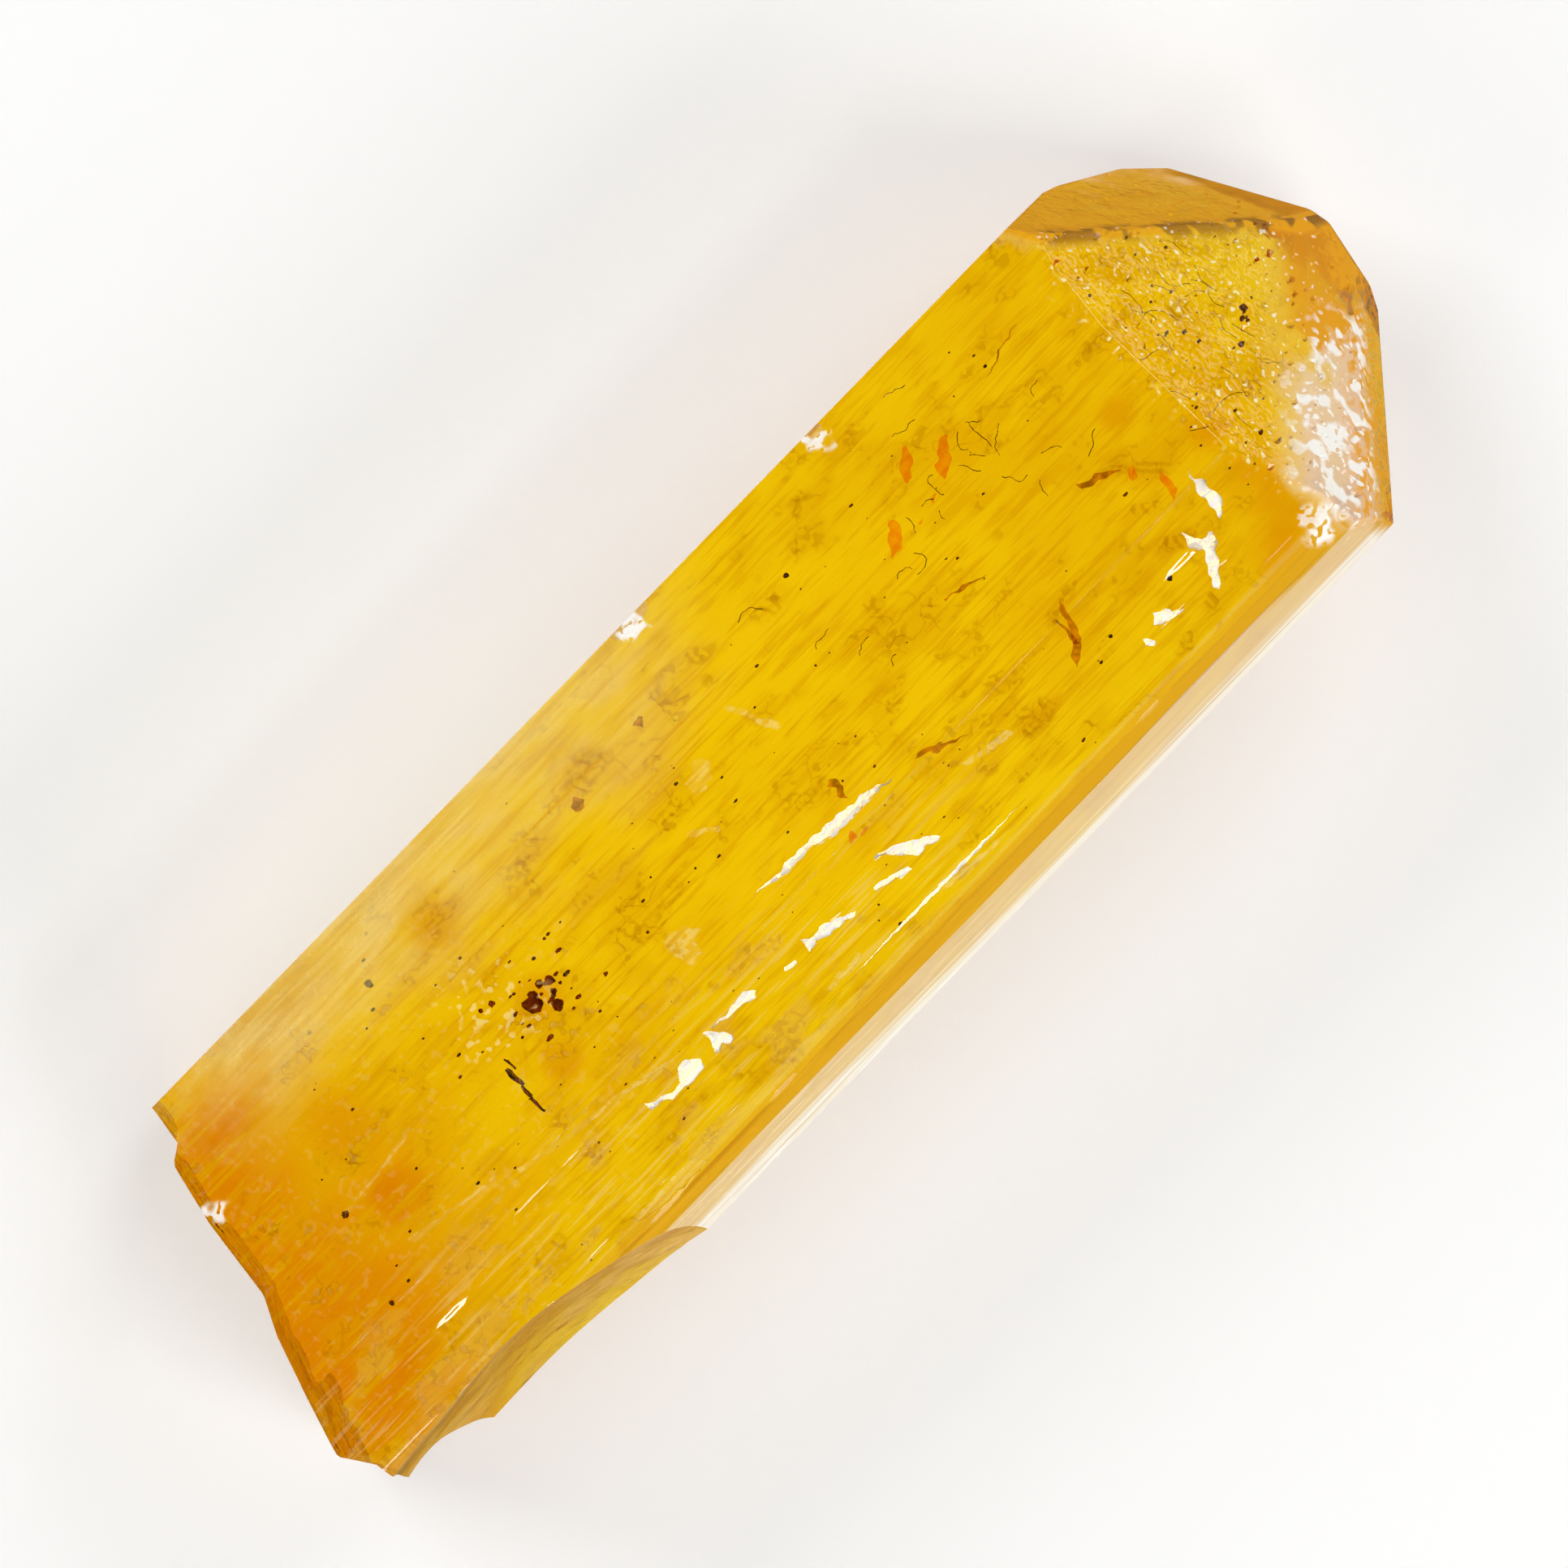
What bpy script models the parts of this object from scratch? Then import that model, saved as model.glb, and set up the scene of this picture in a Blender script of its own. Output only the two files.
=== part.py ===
"""Imperial topaz: one prismatic crystal, lying on a prism face, its broken base at -X and its termination at +X.

Metres, +Z up. The crystal's c axis runs along X, half its thickness above the ground, so every prism face
runs along X. A face is given by its normal: the azimuth phi turns about the c axis from +Y towards +Z, and
rho is the angle from the c axis, 90 degrees on a prism face. Distances are measured from the middle of the axis.
"""

import math
import random

import bmesh
import bpy
from mathutils import Matrix, Vector, noise

MM = 0.001
SEED = 7

# Driving dimensions.
LENGTH = 45.7 * MM
WIDTH = 14.0 * MM
THICKNESS = 10.5 * MM

HALF_WIDTH = WIDTH / 2
HALF_THICKNESS = THICKNESS / 2

# The prism faces in turn about the c axis: name, azimuth, distance from the axis, and whether growth left it striated.
PRISM_FACES = (
    ("left side", 0.0, HALF_WIDTH, True),
    ("outer vicinal", 74.0, 6.21 * MM, True),
    ("inner vicinal", 82.0, 5.63 * MM, True),
    ("top m", 90.0, HALF_THICKNESS, True),
    ("right l", 108.7, 5.62 * MM, True),
    ("right b", 156.7, 7.15 * MM, True),
    ("right under l", 195.6, 6.25 * MM, True),
    ("right under m", 214.3, 6.75 * MM, False),
    ("resting m", 270.0, HALF_THICKNESS, False),
    ("left under b", 332.2, 8.05 * MM, True),
)

# Striations: narrow treads sunk below the face, with steep risers between them.
TREAD_NARROWEST = 0.22 * MM
TREAD_WIDEST = 0.85 * MM
RISER_WIDTH = 0.05 * MM
DEEPEST_TREAD = 0.075 * MM
EDGE_MARGIN = 0.25 * MM

# The faces that close the crystal at +X: name, rho, phi, and distance from the middle of the axis.
TERMINATION_FACES = (
    ("main dome", 45.6, 90.0, 14.98 * MM),
    ("left pyramid", 38.9, 28.1, 17.78 * MM),
    ("left corner", 68.8, -6.0, 13.15 * MM),
    ("right frosted", 39.4, 104.2, 16.57 * MM),
    ("right sliver", 34.2, 136.5, 18.36 * MM),
    ("under right", 60.3, 205.0, 13.74 * MM),
    ("under left", 52.0, 318.0, 17.85 * MM),
    ("under dome", 45.6, 270.0, 17.35 * MM),
)

# The break across the base, seen from above: (y, x) of its upper rim, from the left side to the right one.
BREAK_RIM = (
    (8.00 * MM, -19.20 * MM),
    (7.00 * MM, -19.34 * MM),
    (5.75 * MM, -19.52 * MM),
    (5.40 * MM, -20.05 * MM),
    (3.55 * MM, -20.52 * MM),
    (0.90 * MM, -20.92 * MM),
    (-0.20 * MM, -21.50 * MM),
    (-1.90 * MM, -22.12 * MM),
    (-3.90 * MM, -22.83 * MM),
    (-4.85 * MM, -22.24 * MM),
    (-8.00 * MM, -21.80 * MM),
)
BREAK_LEAN = 0.03
BREAK_HOLLOW = 0.20 * MM
BLOW_POINT = Vector((0.0, 6.6 * MM, -4.6 * MM))
RIPPLE_PITCH = 1.25 * MM
RIPPLE_HEIGHT = 0.02 * MM
BREAK_BLOCK = (16 * MM, 13 * MM)
BREAK_INNER = 1.2 * MM
BREAK_CELL_Y = 0.33 * MM
BREAK_CELL_Z = 0.50 * MM
CLEAVAGE_STEP = 0.20 * MM
CLEAVAGE_PATCH = 4.0 * MM
CLEAVAGE_SHARE = 0.2
BREAK_ROUGHNESS = ((0.10 * MM, 2.6 * MM), (0.03 * MM, 0.9 * MM))

# Conchoidal chips and small nicks: (centre, radii) of the ellipsoid that each one was struck out along.
CHIPS = (
    ((-18.0 * MM, -9.1 * MM, 4.5 * MM), (9.7 * MM, 4.0 * MM, 6.8 * MM)),
    ((-20.6 * MM, -8.0 * MM, -0.5 * MM), (1.8 * MM, 2.75 * MM, 5.0 * MM)),
)
NICKS = (
    ((0.4 * MM, 7.00 * MM, 4.75 * MM), (0.95 * MM, 0.42 * MM, 0.45 * MM)),
    ((8.0 * MM, 6.95 * MM, 4.75 * MM), (0.50 * MM, 0.36 * MM, 0.38 * MM)),
    ((-12.4 * MM, -7.05 * MM, 2.30 * MM), (1.10 * MM, 0.50 * MM, 0.90 * MM)),
)
CHIP_RINGS = 20
CHIP_SEGMENTS = 40

# Growth pits on the termination: face they sink into, how many, and the (y, z) window that they are spread over.
PIT_SMALLEST = 0.11 * MM
PIT_LARGEST = 0.34 * MM
PIT_STRETCH = 1.7
PIT_DEPTH_SHARE = 0.34
PITTED_FACES = (
    ("main dome", 190, (-5.6 * MM, 6.0 * MM), (-0.6 * MM, 4.9 * MM)),
    ("right frosted", 60, (-6.0 * MM, -0.4 * MM), (-1.0 * MM, 3.6 * MM)),
    ("left pyramid", 26, (2.2 * MM, 6.4 * MM), (-2.6 * MM, 2.8 * MM)),
)

TOPAZ_COLOUR = (0.86, 0.47, 0.03, 1.0)
TOPAZ_IOR = 1.62


def clear_scene():
    for item in list(bpy.data.objects):
        bpy.data.objects.remove(item, do_unlink=True)


def face_normal(rho, phi):
    rho, phi = math.radians(rho), math.radians(phi)
    return Vector((math.cos(rho), math.sin(rho) * math.cos(phi), math.sin(rho) * math.sin(phi)))


def finish_object(name, mesh_builder, material=None):
    """Turns a bmesh into a linked object with its faces pointing out."""
    bmesh.ops.recalc_face_normals(mesh_builder, faces=mesh_builder.faces)
    mesh = bpy.data.meshes.new(name)
    mesh_builder.to_mesh(mesh)
    mesh_builder.free()
    if material:
        mesh.materials.append(material)
    item = bpy.data.objects.new(name, mesh)
    bpy.context.collection.objects.link(item)
    return item


def make_cutter(name, mesh_builder):
    cutter = finish_object(name, mesh_builder)
    cutter.hide_render = True
    cutter.display_type = "WIRE"
    return cutter


def cut_away(body, cutter):
    cut = body.modifiers.new(cutter.name, "BOOLEAN")
    cut.operation = "DIFFERENCE"
    cut.solver = "EXACT"
    cut.object = cutter


def corner_between(one, other):
    """The (y, z) point where two prism faces meet."""
    (phi_a, far_a), (phi_b, far_b) = one, other
    a, b = math.radians(phi_a), math.radians(phi_b)
    spread = math.sin(b - a)
    y = (far_a * math.sin(b) - far_b * math.sin(a)) / spread
    z = (far_b * math.cos(a) - far_a * math.cos(b)) / spread
    return Vector((0.0, y, z))


def striated_edge(start, end, inward, draw):
    """The outline of one prism face from corner to corner: treads at changing depths with risers between."""
    points = [start]
    along = (end - start).normalized()
    width = (end - start).length
    place = EDGE_MARGIN
    depth = 0.0
    while place < width - EDGE_MARGIN - TREAD_WIDEST:
        points.append(start + along * place + inward * depth)
        depth = draw.choice((0.0, 0.45, 0.7, 1.0)) * DEEPEST_TREAD
        place += RISER_WIDTH
        points.append(start + along * place + inward * depth)
        place += draw.uniform(TREAD_NARROWEST, TREAD_WIDEST)
    points.append(start + along * place + inward * depth)
    points.append(start + along * (place + RISER_WIDTH))
    return points


def prism_outline(draw):
    """The crystal's cross-section as (0, y, z) points, one striated edge for each prism face."""
    outline = []
    count = len(PRISM_FACES)
    for index, (_, phi, far, striated) in enumerate(PRISM_FACES):
        before = PRISM_FACES[index - 1]
        after = PRISM_FACES[(index + 1) % count]
        start = corner_between((before[1], before[2]), (phi, far))
        end = corner_between((phi, far), (after[1], after[2]))
        inward = -face_normal(90.0, phi)
        roomy = (end - start).length > 2 * EDGE_MARGIN + TREAD_WIDEST
        outline += striated_edge(start, end, inward, draw) if striated and roomy else [start]
    return outline


def cut_face(mesh_builder, rho, phi, far):
    """Trims the solid to one crystal face and closes the cut."""
    normal = face_normal(rho, phi)
    everything = mesh_builder.verts[:] + mesh_builder.edges[:] + mesh_builder.faces[:]
    bmesh.ops.bisect_plane(
        mesh_builder, geom=everything, dist=1e-8, plane_co=normal * far, plane_no=normal, clear_outer=True
    )
    rim = [edge for edge in mesh_builder.edges if edge.is_boundary]
    bmesh.ops.edgeloop_fill(mesh_builder, edges=rim)


def make_crystal(material):
    """The unbroken crystal: the striated prism, trimmed by its termination faces."""
    draw = random.Random(SEED)
    builder = bmesh.new()
    start_x = -LENGTH / 2 - 4 * MM
    end_x = LENGTH / 2 + 4 * MM
    ring = [builder.verts.new(point + Vector((start_x, 0.0, 0.0))) for point in prism_outline(draw)]
    blank = builder.faces.new(ring)
    grown = bmesh.ops.extrude_face_region(builder, geom=[blank])["geom"]
    tips = [item for item in grown if isinstance(item, bmesh.types.BMVert)]
    bmesh.ops.translate(builder, verts=tips, vec=(end_x - start_x, 0.0, 0.0))
    for _, rho, phi, far in TERMINATION_FACES:
        cut_face(builder, rho, phi, far)
    return finish_object("topaz_crystal", builder, material)


def rim_x(y):
    """Where the break's upper rim lies at this y."""
    for (y_left, x_left), (y_right, x_right) in zip(BREAK_RIM, BREAK_RIM[1:]):
        if y >= y_right:
            share = (y_left - y) / (y_left - y_right)
            return x_left + (x_right - x_left) * share
    return BREAK_RIM[-1][1]


def break_x(y, z):
    """The fracture surface: a leaning, hollowed shell with ripples about the blow, stepped where it cleaved flat."""
    drop = max(HALF_THICKNESS - z, 0.0)
    hollow = BREAK_HOLLOW * math.sin(math.pi * min(drop / THICKNESS, 1.0)) ** 2
    here = Vector((0.0, y, z))
    reach = (here - BLOW_POINT).length
    ripple = RIPPLE_HEIGHT * math.sin(2 * math.pi * reach / RIPPLE_PITCH)
    rough = sum(height * noise.noise(here / spread) for height, spread in BREAK_ROUGHNESS)
    inner = min(drop / BREAK_INNER, 1.0)
    wave = hollow + (ripple + rough) * inner
    stepped = math.floor(wave / CLEAVAGE_STEP) * CLEAVAGE_STEP
    cleaved = CLEAVAGE_SHARE if noise.noise(here / CLEAVAGE_PATCH + Vector((3.0, 0.0, 0.0))) > 0.0 else 0.0
    wave += (stepped - wave) * cleaved * inner
    return rim_x(y) + BREAK_LEAN * drop + max(wave, 0.0)


def make_break():
    """The block that the broken base is cut to: its +X side is the fracture surface."""
    builder = bmesh.new()
    across, up = BREAK_BLOCK
    columns, rows = round(across / BREAK_CELL_Y), round(up / BREAK_CELL_Z)
    bmesh.ops.create_grid(builder, x_segments=columns, y_segments=rows, size=0.5)
    for vert in builder.verts:
        y, z = vert.co.x * across, vert.co.y * up
        vert.co = (break_x(y, z), y, z)
    grown = bmesh.ops.extrude_face_region(builder, geom=builder.faces[:])["geom"]
    for item in grown:
        if isinstance(item, bmesh.types.BMVert):
            item.co.x = -LENGTH / 2 - 8 * MM
    return make_cutter("base break", builder)


def make_chip(name, centre, radii):
    """An ellipsoid with faint ripples, whose surface a chip leaves in the crystal."""
    builder = bmesh.new()
    bmesh.ops.create_uvsphere(builder, u_segments=CHIP_SEGMENTS, v_segments=CHIP_RINGS, radius=1.0)
    for vert in builder.verts:
        swell = 1.0 + 0.012 * math.sin(9.0 * vert.co.x) + 0.015 * noise.noise(vert.co * 3.0)
        vert.co = Vector(vert.co[axis] * radii[axis] * swell + centre[axis] for axis in range(3))
    return make_cutter(name, builder)


def make_pits():
    """Shallow four-sided growth pits, all in one cutter, that don't touch each other."""
    draw = random.Random(SEED + 1)
    builder = bmesh.new()
    faces = {name: (rho, phi, far) for name, rho, phi, far in TERMINATION_FACES}
    placed = []
    for name, wanted, y_range, z_range in PITTED_FACES:
        rho, phi, far = faces[name]
        normal = face_normal(rho, phi)
        made = 0
        while made < wanted:
            y, z = draw.uniform(*y_range), draw.uniform(*z_range)
            radius = PIT_SMALLEST + (PIT_LARGEST - PIT_SMALLEST) * draw.random() ** 2
            middle = Vector(((far - normal.y * y - normal.z * z) / normal.x, y, z))
            turn = draw.uniform(-0.25, 0.25)
            made += 1
            if any((middle - other).length < 1.35 * (radius + size) for other, size in placed):
                continue
            placed.append((middle, radius))
            depth = radius * PIT_DEPTH_SHARE * 2
            stand = normal.to_track_quat("Z", "Y").to_matrix().to_4x4()
            shape = Matrix.Diagonal((1.0, PIT_STRETCH, 1.0, 1.0))
            spin = Matrix.Rotation(math.pi / 4 + turn, 4, "Z")
            bmesh.ops.create_cone(
                builder,
                cap_ends=True,
                segments=4,
                radius1=0.0,
                radius2=radius * 2,
                depth=depth * 2,
                matrix=Matrix.Translation(middle) @ stand @ shape @ spin,
            )
    bmesh.ops.remove_doubles(builder, verts=builder.verts, dist=1e-7)
    return make_cutter("growth pits", builder)


def topaz_material():
    material = bpy.data.materials.new("topaz")
    material.use_nodes = True
    shader = material.node_tree.nodes["Principled BSDF"]
    shader.inputs["Base Color"].default_value = TOPAZ_COLOUR
    shader.inputs["Roughness"].default_value = 0.06
    shader.inputs["Metallic"].default_value = 0.0
    shader.inputs["IOR"].default_value = TOPAZ_IOR
    shader.inputs["Transmission Weight"].default_value = 1.0
    return material


def box_of(body):
    """The lowest and highest corners of the body once its modifiers are evaluated."""
    bpy.context.view_layer.update()
    mesh = body.evaluated_get(bpy.context.evaluated_depsgraph_get()).to_mesh()
    corners = [vert.co for vert in mesh.vertices]
    low = Vector(min(corner[axis] for corner in corners) for axis in range(3))
    high = Vector(max(corner[axis] for corner in corners) for axis in range(3))
    return low, high


def main():
    clear_scene()
    crystal = make_crystal(topaz_material())
    cutters = [make_break()]
    cutters += [make_chip(f"chip {index}", *chip) for index, chip in enumerate(CHIPS)]
    cutters += [make_chip(f"nick {index}", *nick) for index, nick in enumerate(NICKS)]
    cutters.append(make_pits())
    for cutter in cutters:
        cut_away(crystal, cutter)
    # The origin is set under the middle of the crystal, on the ground that it lies on.
    low, high = box_of(crystal)
    shift = Vector((-(low.x + high.x) / 2, -(low.y + high.y) / 2, -low.z))
    for item in [crystal] + cutters:
        item.location = shift


main()
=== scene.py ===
"""An imperial topaz crystal: its striated prism, etched tip, broken base and what it holds inside."""

import math
import random

import bmesh
import bpy
from mathutils import Matrix, Vector, noise


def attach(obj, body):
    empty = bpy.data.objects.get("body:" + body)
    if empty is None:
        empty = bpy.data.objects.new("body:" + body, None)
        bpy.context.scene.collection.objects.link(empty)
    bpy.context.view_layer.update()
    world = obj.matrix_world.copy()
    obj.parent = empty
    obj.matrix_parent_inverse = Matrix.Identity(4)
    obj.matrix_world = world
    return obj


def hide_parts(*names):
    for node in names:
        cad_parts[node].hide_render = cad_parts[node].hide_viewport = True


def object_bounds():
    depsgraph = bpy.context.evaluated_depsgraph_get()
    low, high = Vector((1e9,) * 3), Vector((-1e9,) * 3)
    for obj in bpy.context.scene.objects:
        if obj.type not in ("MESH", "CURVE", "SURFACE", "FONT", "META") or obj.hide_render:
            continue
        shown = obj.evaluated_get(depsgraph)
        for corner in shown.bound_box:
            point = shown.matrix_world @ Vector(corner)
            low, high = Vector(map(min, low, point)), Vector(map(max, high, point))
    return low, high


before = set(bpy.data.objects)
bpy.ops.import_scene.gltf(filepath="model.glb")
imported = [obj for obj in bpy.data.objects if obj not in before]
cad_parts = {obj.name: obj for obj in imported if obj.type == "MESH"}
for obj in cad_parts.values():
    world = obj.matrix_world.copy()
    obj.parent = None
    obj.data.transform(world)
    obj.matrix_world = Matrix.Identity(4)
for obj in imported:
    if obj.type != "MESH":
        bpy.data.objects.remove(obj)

cad_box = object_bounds()

# --------------------------------------------------------------------------------------------------
# The camera. It stands straight above the lying crystal and is turned so that the c axis runs up to
# the right.
MM = 0.001
FRAME_WIDTH = 45.61 * MM
FRAME_MIDDLE = Vector((-0.01 * MM, 0.415 * MM))
CAMERA_HEIGHT = 0.80
SENSOR = 36.0
AXIS_TURN = math.atan2(0.717, 0.697)
MIDDLE_HEIGHT = (cad_box[0].z + cad_box[1].z) / 2

camera_data = bpy.data.cameras.new("camera")
camera_data.sensor_width = SENSOR
camera_data.lens = SENSOR * CAMERA_HEIGHT / FRAME_WIDTH
camera = bpy.data.objects.new("camera", camera_data)
bpy.context.collection.objects.link(camera)
camera.location = (FRAME_MIDDLE.x, FRAME_MIDDLE.y, MIDDLE_HEIGHT + CAMERA_HEIGHT)
camera.rotation_euler = (0.0, 0.0, -AXIS_TURN)
bpy.context.scene.camera = camera
bpy.context.scene.view_settings.view_transform = "Standard"
bpy.context.scene.cycles.max_bounces = 8
bpy.context.scene.cycles.transmission_bounces = 8
bpy.context.scene.cycles.diffuse_bounces = 2
bpy.context.scene.cycles.adaptive_threshold = 0.2

# --------------------------------------------------------------------------------------------------
# The floor: a pale matt board, just under the face that the crystal rests on.
FLOOR_SIZE = 8.0
FLOOR_GAP = 0.06 * MM
BOARD_GLOW = 0.35

bpy.ops.object.select_all(action="DESELECT")
bpy.ops.mesh.primitive_plane_add(size=FLOOR_SIZE, location=(0.0, 0.0, cad_box[0].z - FLOOR_GAP))
floor = bpy.context.object
floor.name = "floor"
board = bpy.data.materials.new("pale_board")
board.use_nodes = True
board_finish = board.node_tree.nodes["Principled BSDF"]
board_finish.inputs["Base Color"].default_value = (0.62, 0.62, 0.61, 1.0)
board_finish.inputs["Roughness"].default_value = 0.7
board_finish.inputs["Emission Color"].default_value = (1.0, 1.0, 1.0, 1.0)
board_finish.inputs["Emission Strength"].default_value = BOARD_GLOW
floor.data.materials.append(board)

# Two sheets lie on the board. Only rays that have passed through the crystal meet the light one, so it
# glows evenly. Only mirrored rays meet the dark one, so that the steep faces mirror no bright board.
SHEET_SIZE = 0.30
SHEETS = (
    ("light_sheet", 0.04 * MM, 1.0, True),
    ("dark_sheet", 0.02 * MM, 0.02, False),
)

for name, height, glow, seen_through in SHEETS:
    sheet_height = cad_box[0].z - FLOOR_GAP + height
    bpy.ops.mesh.primitive_plane_add(size=SHEET_SIZE, location=(0.0, 0.0, sheet_height))
    sheet = bpy.context.object
    sheet.name = name
    sheet.visible_camera = False
    sheet.visible_diffuse = False
    sheet.visible_shadow = False
    sheet.visible_transmission = seen_through
    sheet.visible_glossy = not seen_through
    glowing = bpy.data.materials.new(name)
    glowing.use_nodes = True
    glowing.cycles.emission_sampling = "NONE"
    glowing.node_tree.nodes.remove(glowing.node_tree.nodes["Principled BSDF"])
    source = glowing.node_tree.nodes.new("ShaderNodeEmission")
    source.inputs["Strength"].default_value = glow
    end = glowing.node_tree.nodes["Material Output"]
    glowing.node_tree.links.new(source.outputs[0], end.inputs["Surface"])
    sheet.data.materials.append(glowing)

# --------------------------------------------------------------------------------------------------
# The light: broad soft boxes low around the crystal, so that nothing bright stands straight above its
# top face, and one small lamp that the scars in its right side mirror. They are mirrored, but they
# aren't seen directly or through the crystal. The room is only seen behind the crystal and through it.
SOFTBOXES = (
    ("left_softbox", (-0.10, 0.72, 0.44), (0.60, 0.45), 4.6),
    ("right_softbox", (0.05, -0.72, 0.44), (0.60, 0.45), 4.6),
    ("tip_softbox", (0.60, 0.10, 0.52), (0.45, 0.45), 2.4),
    ("base_softbox", (-0.75, 0.00, 0.36), (0.45, 0.45), 2.4),
    ("scar_lamp", (0.010, -0.170, 0.330), (0.085, 0.045), 0.14),
)
ROOM_LIGHT = 0.45

for name, place, (width, height), power in SOFTBOXES:
    lamp = bpy.data.lights.new(name, "AREA")
    lamp.shape = "RECTANGLE"
    lamp.size = width
    lamp.size_y = height
    lamp.energy = power
    holder = bpy.data.objects.new(name, lamp)
    bpy.context.collection.objects.link(holder)
    holder.location = place
    holder.rotation_euler = (Vector((0.0, 0.0, 0.0)) - Vector(place)).to_track_quat("-Z", "Y").to_euler()
    holder.visible_camera = False
    holder.visible_transmission = False

room = bpy.data.worlds.new("room")
room.use_nodes = True
room.node_tree.nodes["Background"].inputs["Color"].default_value = (1.0, 1.0, 1.0, 1.0)
room.node_tree.nodes["Background"].inputs["Strength"].default_value = ROOM_LIGHT
bpy.context.scene.world = room
room.cycles_visibility.diffuse = False
room.cycles_visibility.glossy = False

# --------------------------------------------------------------------------------------------------
# The crystal: one piece of golden-orange topaz. A block is cleaved to its faces, its edges are
# softened, the faces are stepped by growth, and then the base is broken off, chips are struck out,
# pits are etched in the tip and scars are cut in the upper faces. A face of the termination is given
# by its angle from the c axis first. Each face has its azimuth about that axis from +Y towards +Z, its
# distance from the axis middle, and how deep its growth steps or hillocks go.
PRISM_FACES = (
    ("left side", 0.0, 7.00 * MM, 0.020 * MM),
    ("outer vicinal", 74.0, 6.21 * MM, 0.020 * MM),
    ("inner vicinal", 82.0, 5.63 * MM, 0.016 * MM),
    ("top m", 90.0, 5.25 * MM, 0.010 * MM),
    ("right l", 108.7, 5.62 * MM, 0.022 * MM),
    ("right b", 156.7, 7.15 * MM, 0.020 * MM),
    ("right under l", 195.6, 6.25 * MM, 0.030 * MM),
    ("right under m", 214.3, 6.75 * MM, 0.030 * MM),
    ("resting m", 270.0, 5.25 * MM, 0.012 * MM),
    ("left under b", 332.2, 8.05 * MM, 0.030 * MM),
)
TERMINATION_FACES = (
    ("main dome", 45.6, 90.0, 14.98 * MM, 0.030 * MM),
    ("left pyramid", 38.9, 28.1, 17.78 * MM, 0.030 * MM),
    ("left corner", 68.8, -6.0, 13.00 * MM, 0.030 * MM),
    ("right frosted", 39.4, 104.2, 16.57 * MM, 0.060 * MM),
    ("right sliver", 34.2, 136.5, 18.36 * MM, 0.030 * MM),
    ("under right", 60.3, 205.0, 13.74 * MM, 0.030 * MM),
    ("under left", 52.0, 318.0, 18.10 * MM, 0.030 * MM),
    ("under dome", 45.6, 270.0, 17.60 * MM, 0.030 * MM),
)
BLOCK = (54.0 * MM, 20.0 * MM, 20.0 * MM)
AXIS_PLACE = Vector((-0.163 * MM, 0.0, MIDDLE_HEIGHT))
SHOULDER_ROUNDING = 0.80 * MM
TIP_ROUNDING = 0.40 * MM
PRISM_ROUNDING = 0.05 * MM
ROUNDING_STEPS = 4
CELL_ACROSS = 0.13 * MM
CELL_UP = 0.20 * MM
CELL_ALONG = 0.42 * MM
SLICED_ACROSS = (-7.0 * MM, 7.0 * MM)
SLICED_UP = (-5.2 * MM, 5.2 * MM)
SLICED_ALONG = (-24.0 * MM, 23.0 * MM)
TINY = 1e-8


def deselect_everything():
    bpy.ops.object.select_all(action="DESELECT")


def make_active(piece):
    deselect_everything()
    piece.select_set(True)
    bpy.context.view_layer.objects.active = piece


def facing(from_axis, azimuth):
    """The outward normal of a crystal face."""
    from_axis, azimuth = math.radians(from_axis), math.radians(azimuth)
    side = math.sin(from_axis)
    return Vector((math.cos(from_axis), side * math.cos(azimuth), side * math.sin(azimuth)))


def cleave(normal, distance, remove_outside):
    """Cuts the block being edited along a plane, and closes the cut if the outside is taken off."""
    bpy.ops.mesh.select_all(action="SELECT")
    bpy.ops.mesh.bisect(
        plane_co=normal * distance,
        plane_no=normal,
        clear_outer=remove_outside,
        use_fill=remove_outside,
        threshold=TINY,
    )


def slice_up(normal, low, high, cell):
    """Divides the block being edited into slices of one thickness."""
    for index in range(1, int((high - low) / cell)):
        cleave(normal, low + index * cell, False)


# Corners of the tip's outline that are worn away: the faces that meet there, and how far in the wear
# goes.
WORN_CORNERS = (
    (("left side", "left corner"), 0.06 * MM),
    (("left corner", "left pyramid", "under left"), 0.24 * MM),
    (("left pyramid", "under left", "under dome"), 0.05 * MM),
    (("left pyramid", "right frosted", "under dome"), 0.20 * MM),
    (("right frosted", "right sliver", "under dome"), 0.22 * MM),
    (("right sliver", "under right", "under dome"), 0.16 * MM),
)

faces = [(facing(90.0, azimuth), far, steps) for _, azimuth, far, steps in PRISM_FACES]
faces += [(facing(rho, azimuth), far, steps) for _, rho, azimuth, far, steps in TERMINATION_FACES]
face_names = [face[0] for face in PRISM_FACES + TERMINATION_FACES]
for meeting, wear in WORN_CORNERS:
    planes = [faces[face_names.index(name)] for name in meeting]
    total = sum((normal for normal, _, _ in planes), Vector())
    faces.append((total.normalized(), sum(far for _, far, _ in planes) / total.length - wear, 0.0))
face_names += ["worn"] * len(WORN_CORNERS)

deselect_everything()
bpy.ops.mesh.primitive_cube_add(size=1.0)
crystal = bpy.context.object
crystal.name = "topaz_body"
crystal.scale = BLOCK
bpy.ops.object.transform_apply(location=True, rotation=True, scale=True)
bpy.ops.object.mode_set(mode="EDIT")
for normal, far, _ in faces:
    cleave(normal, far, True)
bpy.ops.object.mode_set(mode="OBJECT")

# Worn edges: the termination's are rounder than the prism's, and the shoulder's round its outline.
SHOULDER = {"left pyramid", "left corner", "under left", "under dome", "worn"}

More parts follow.
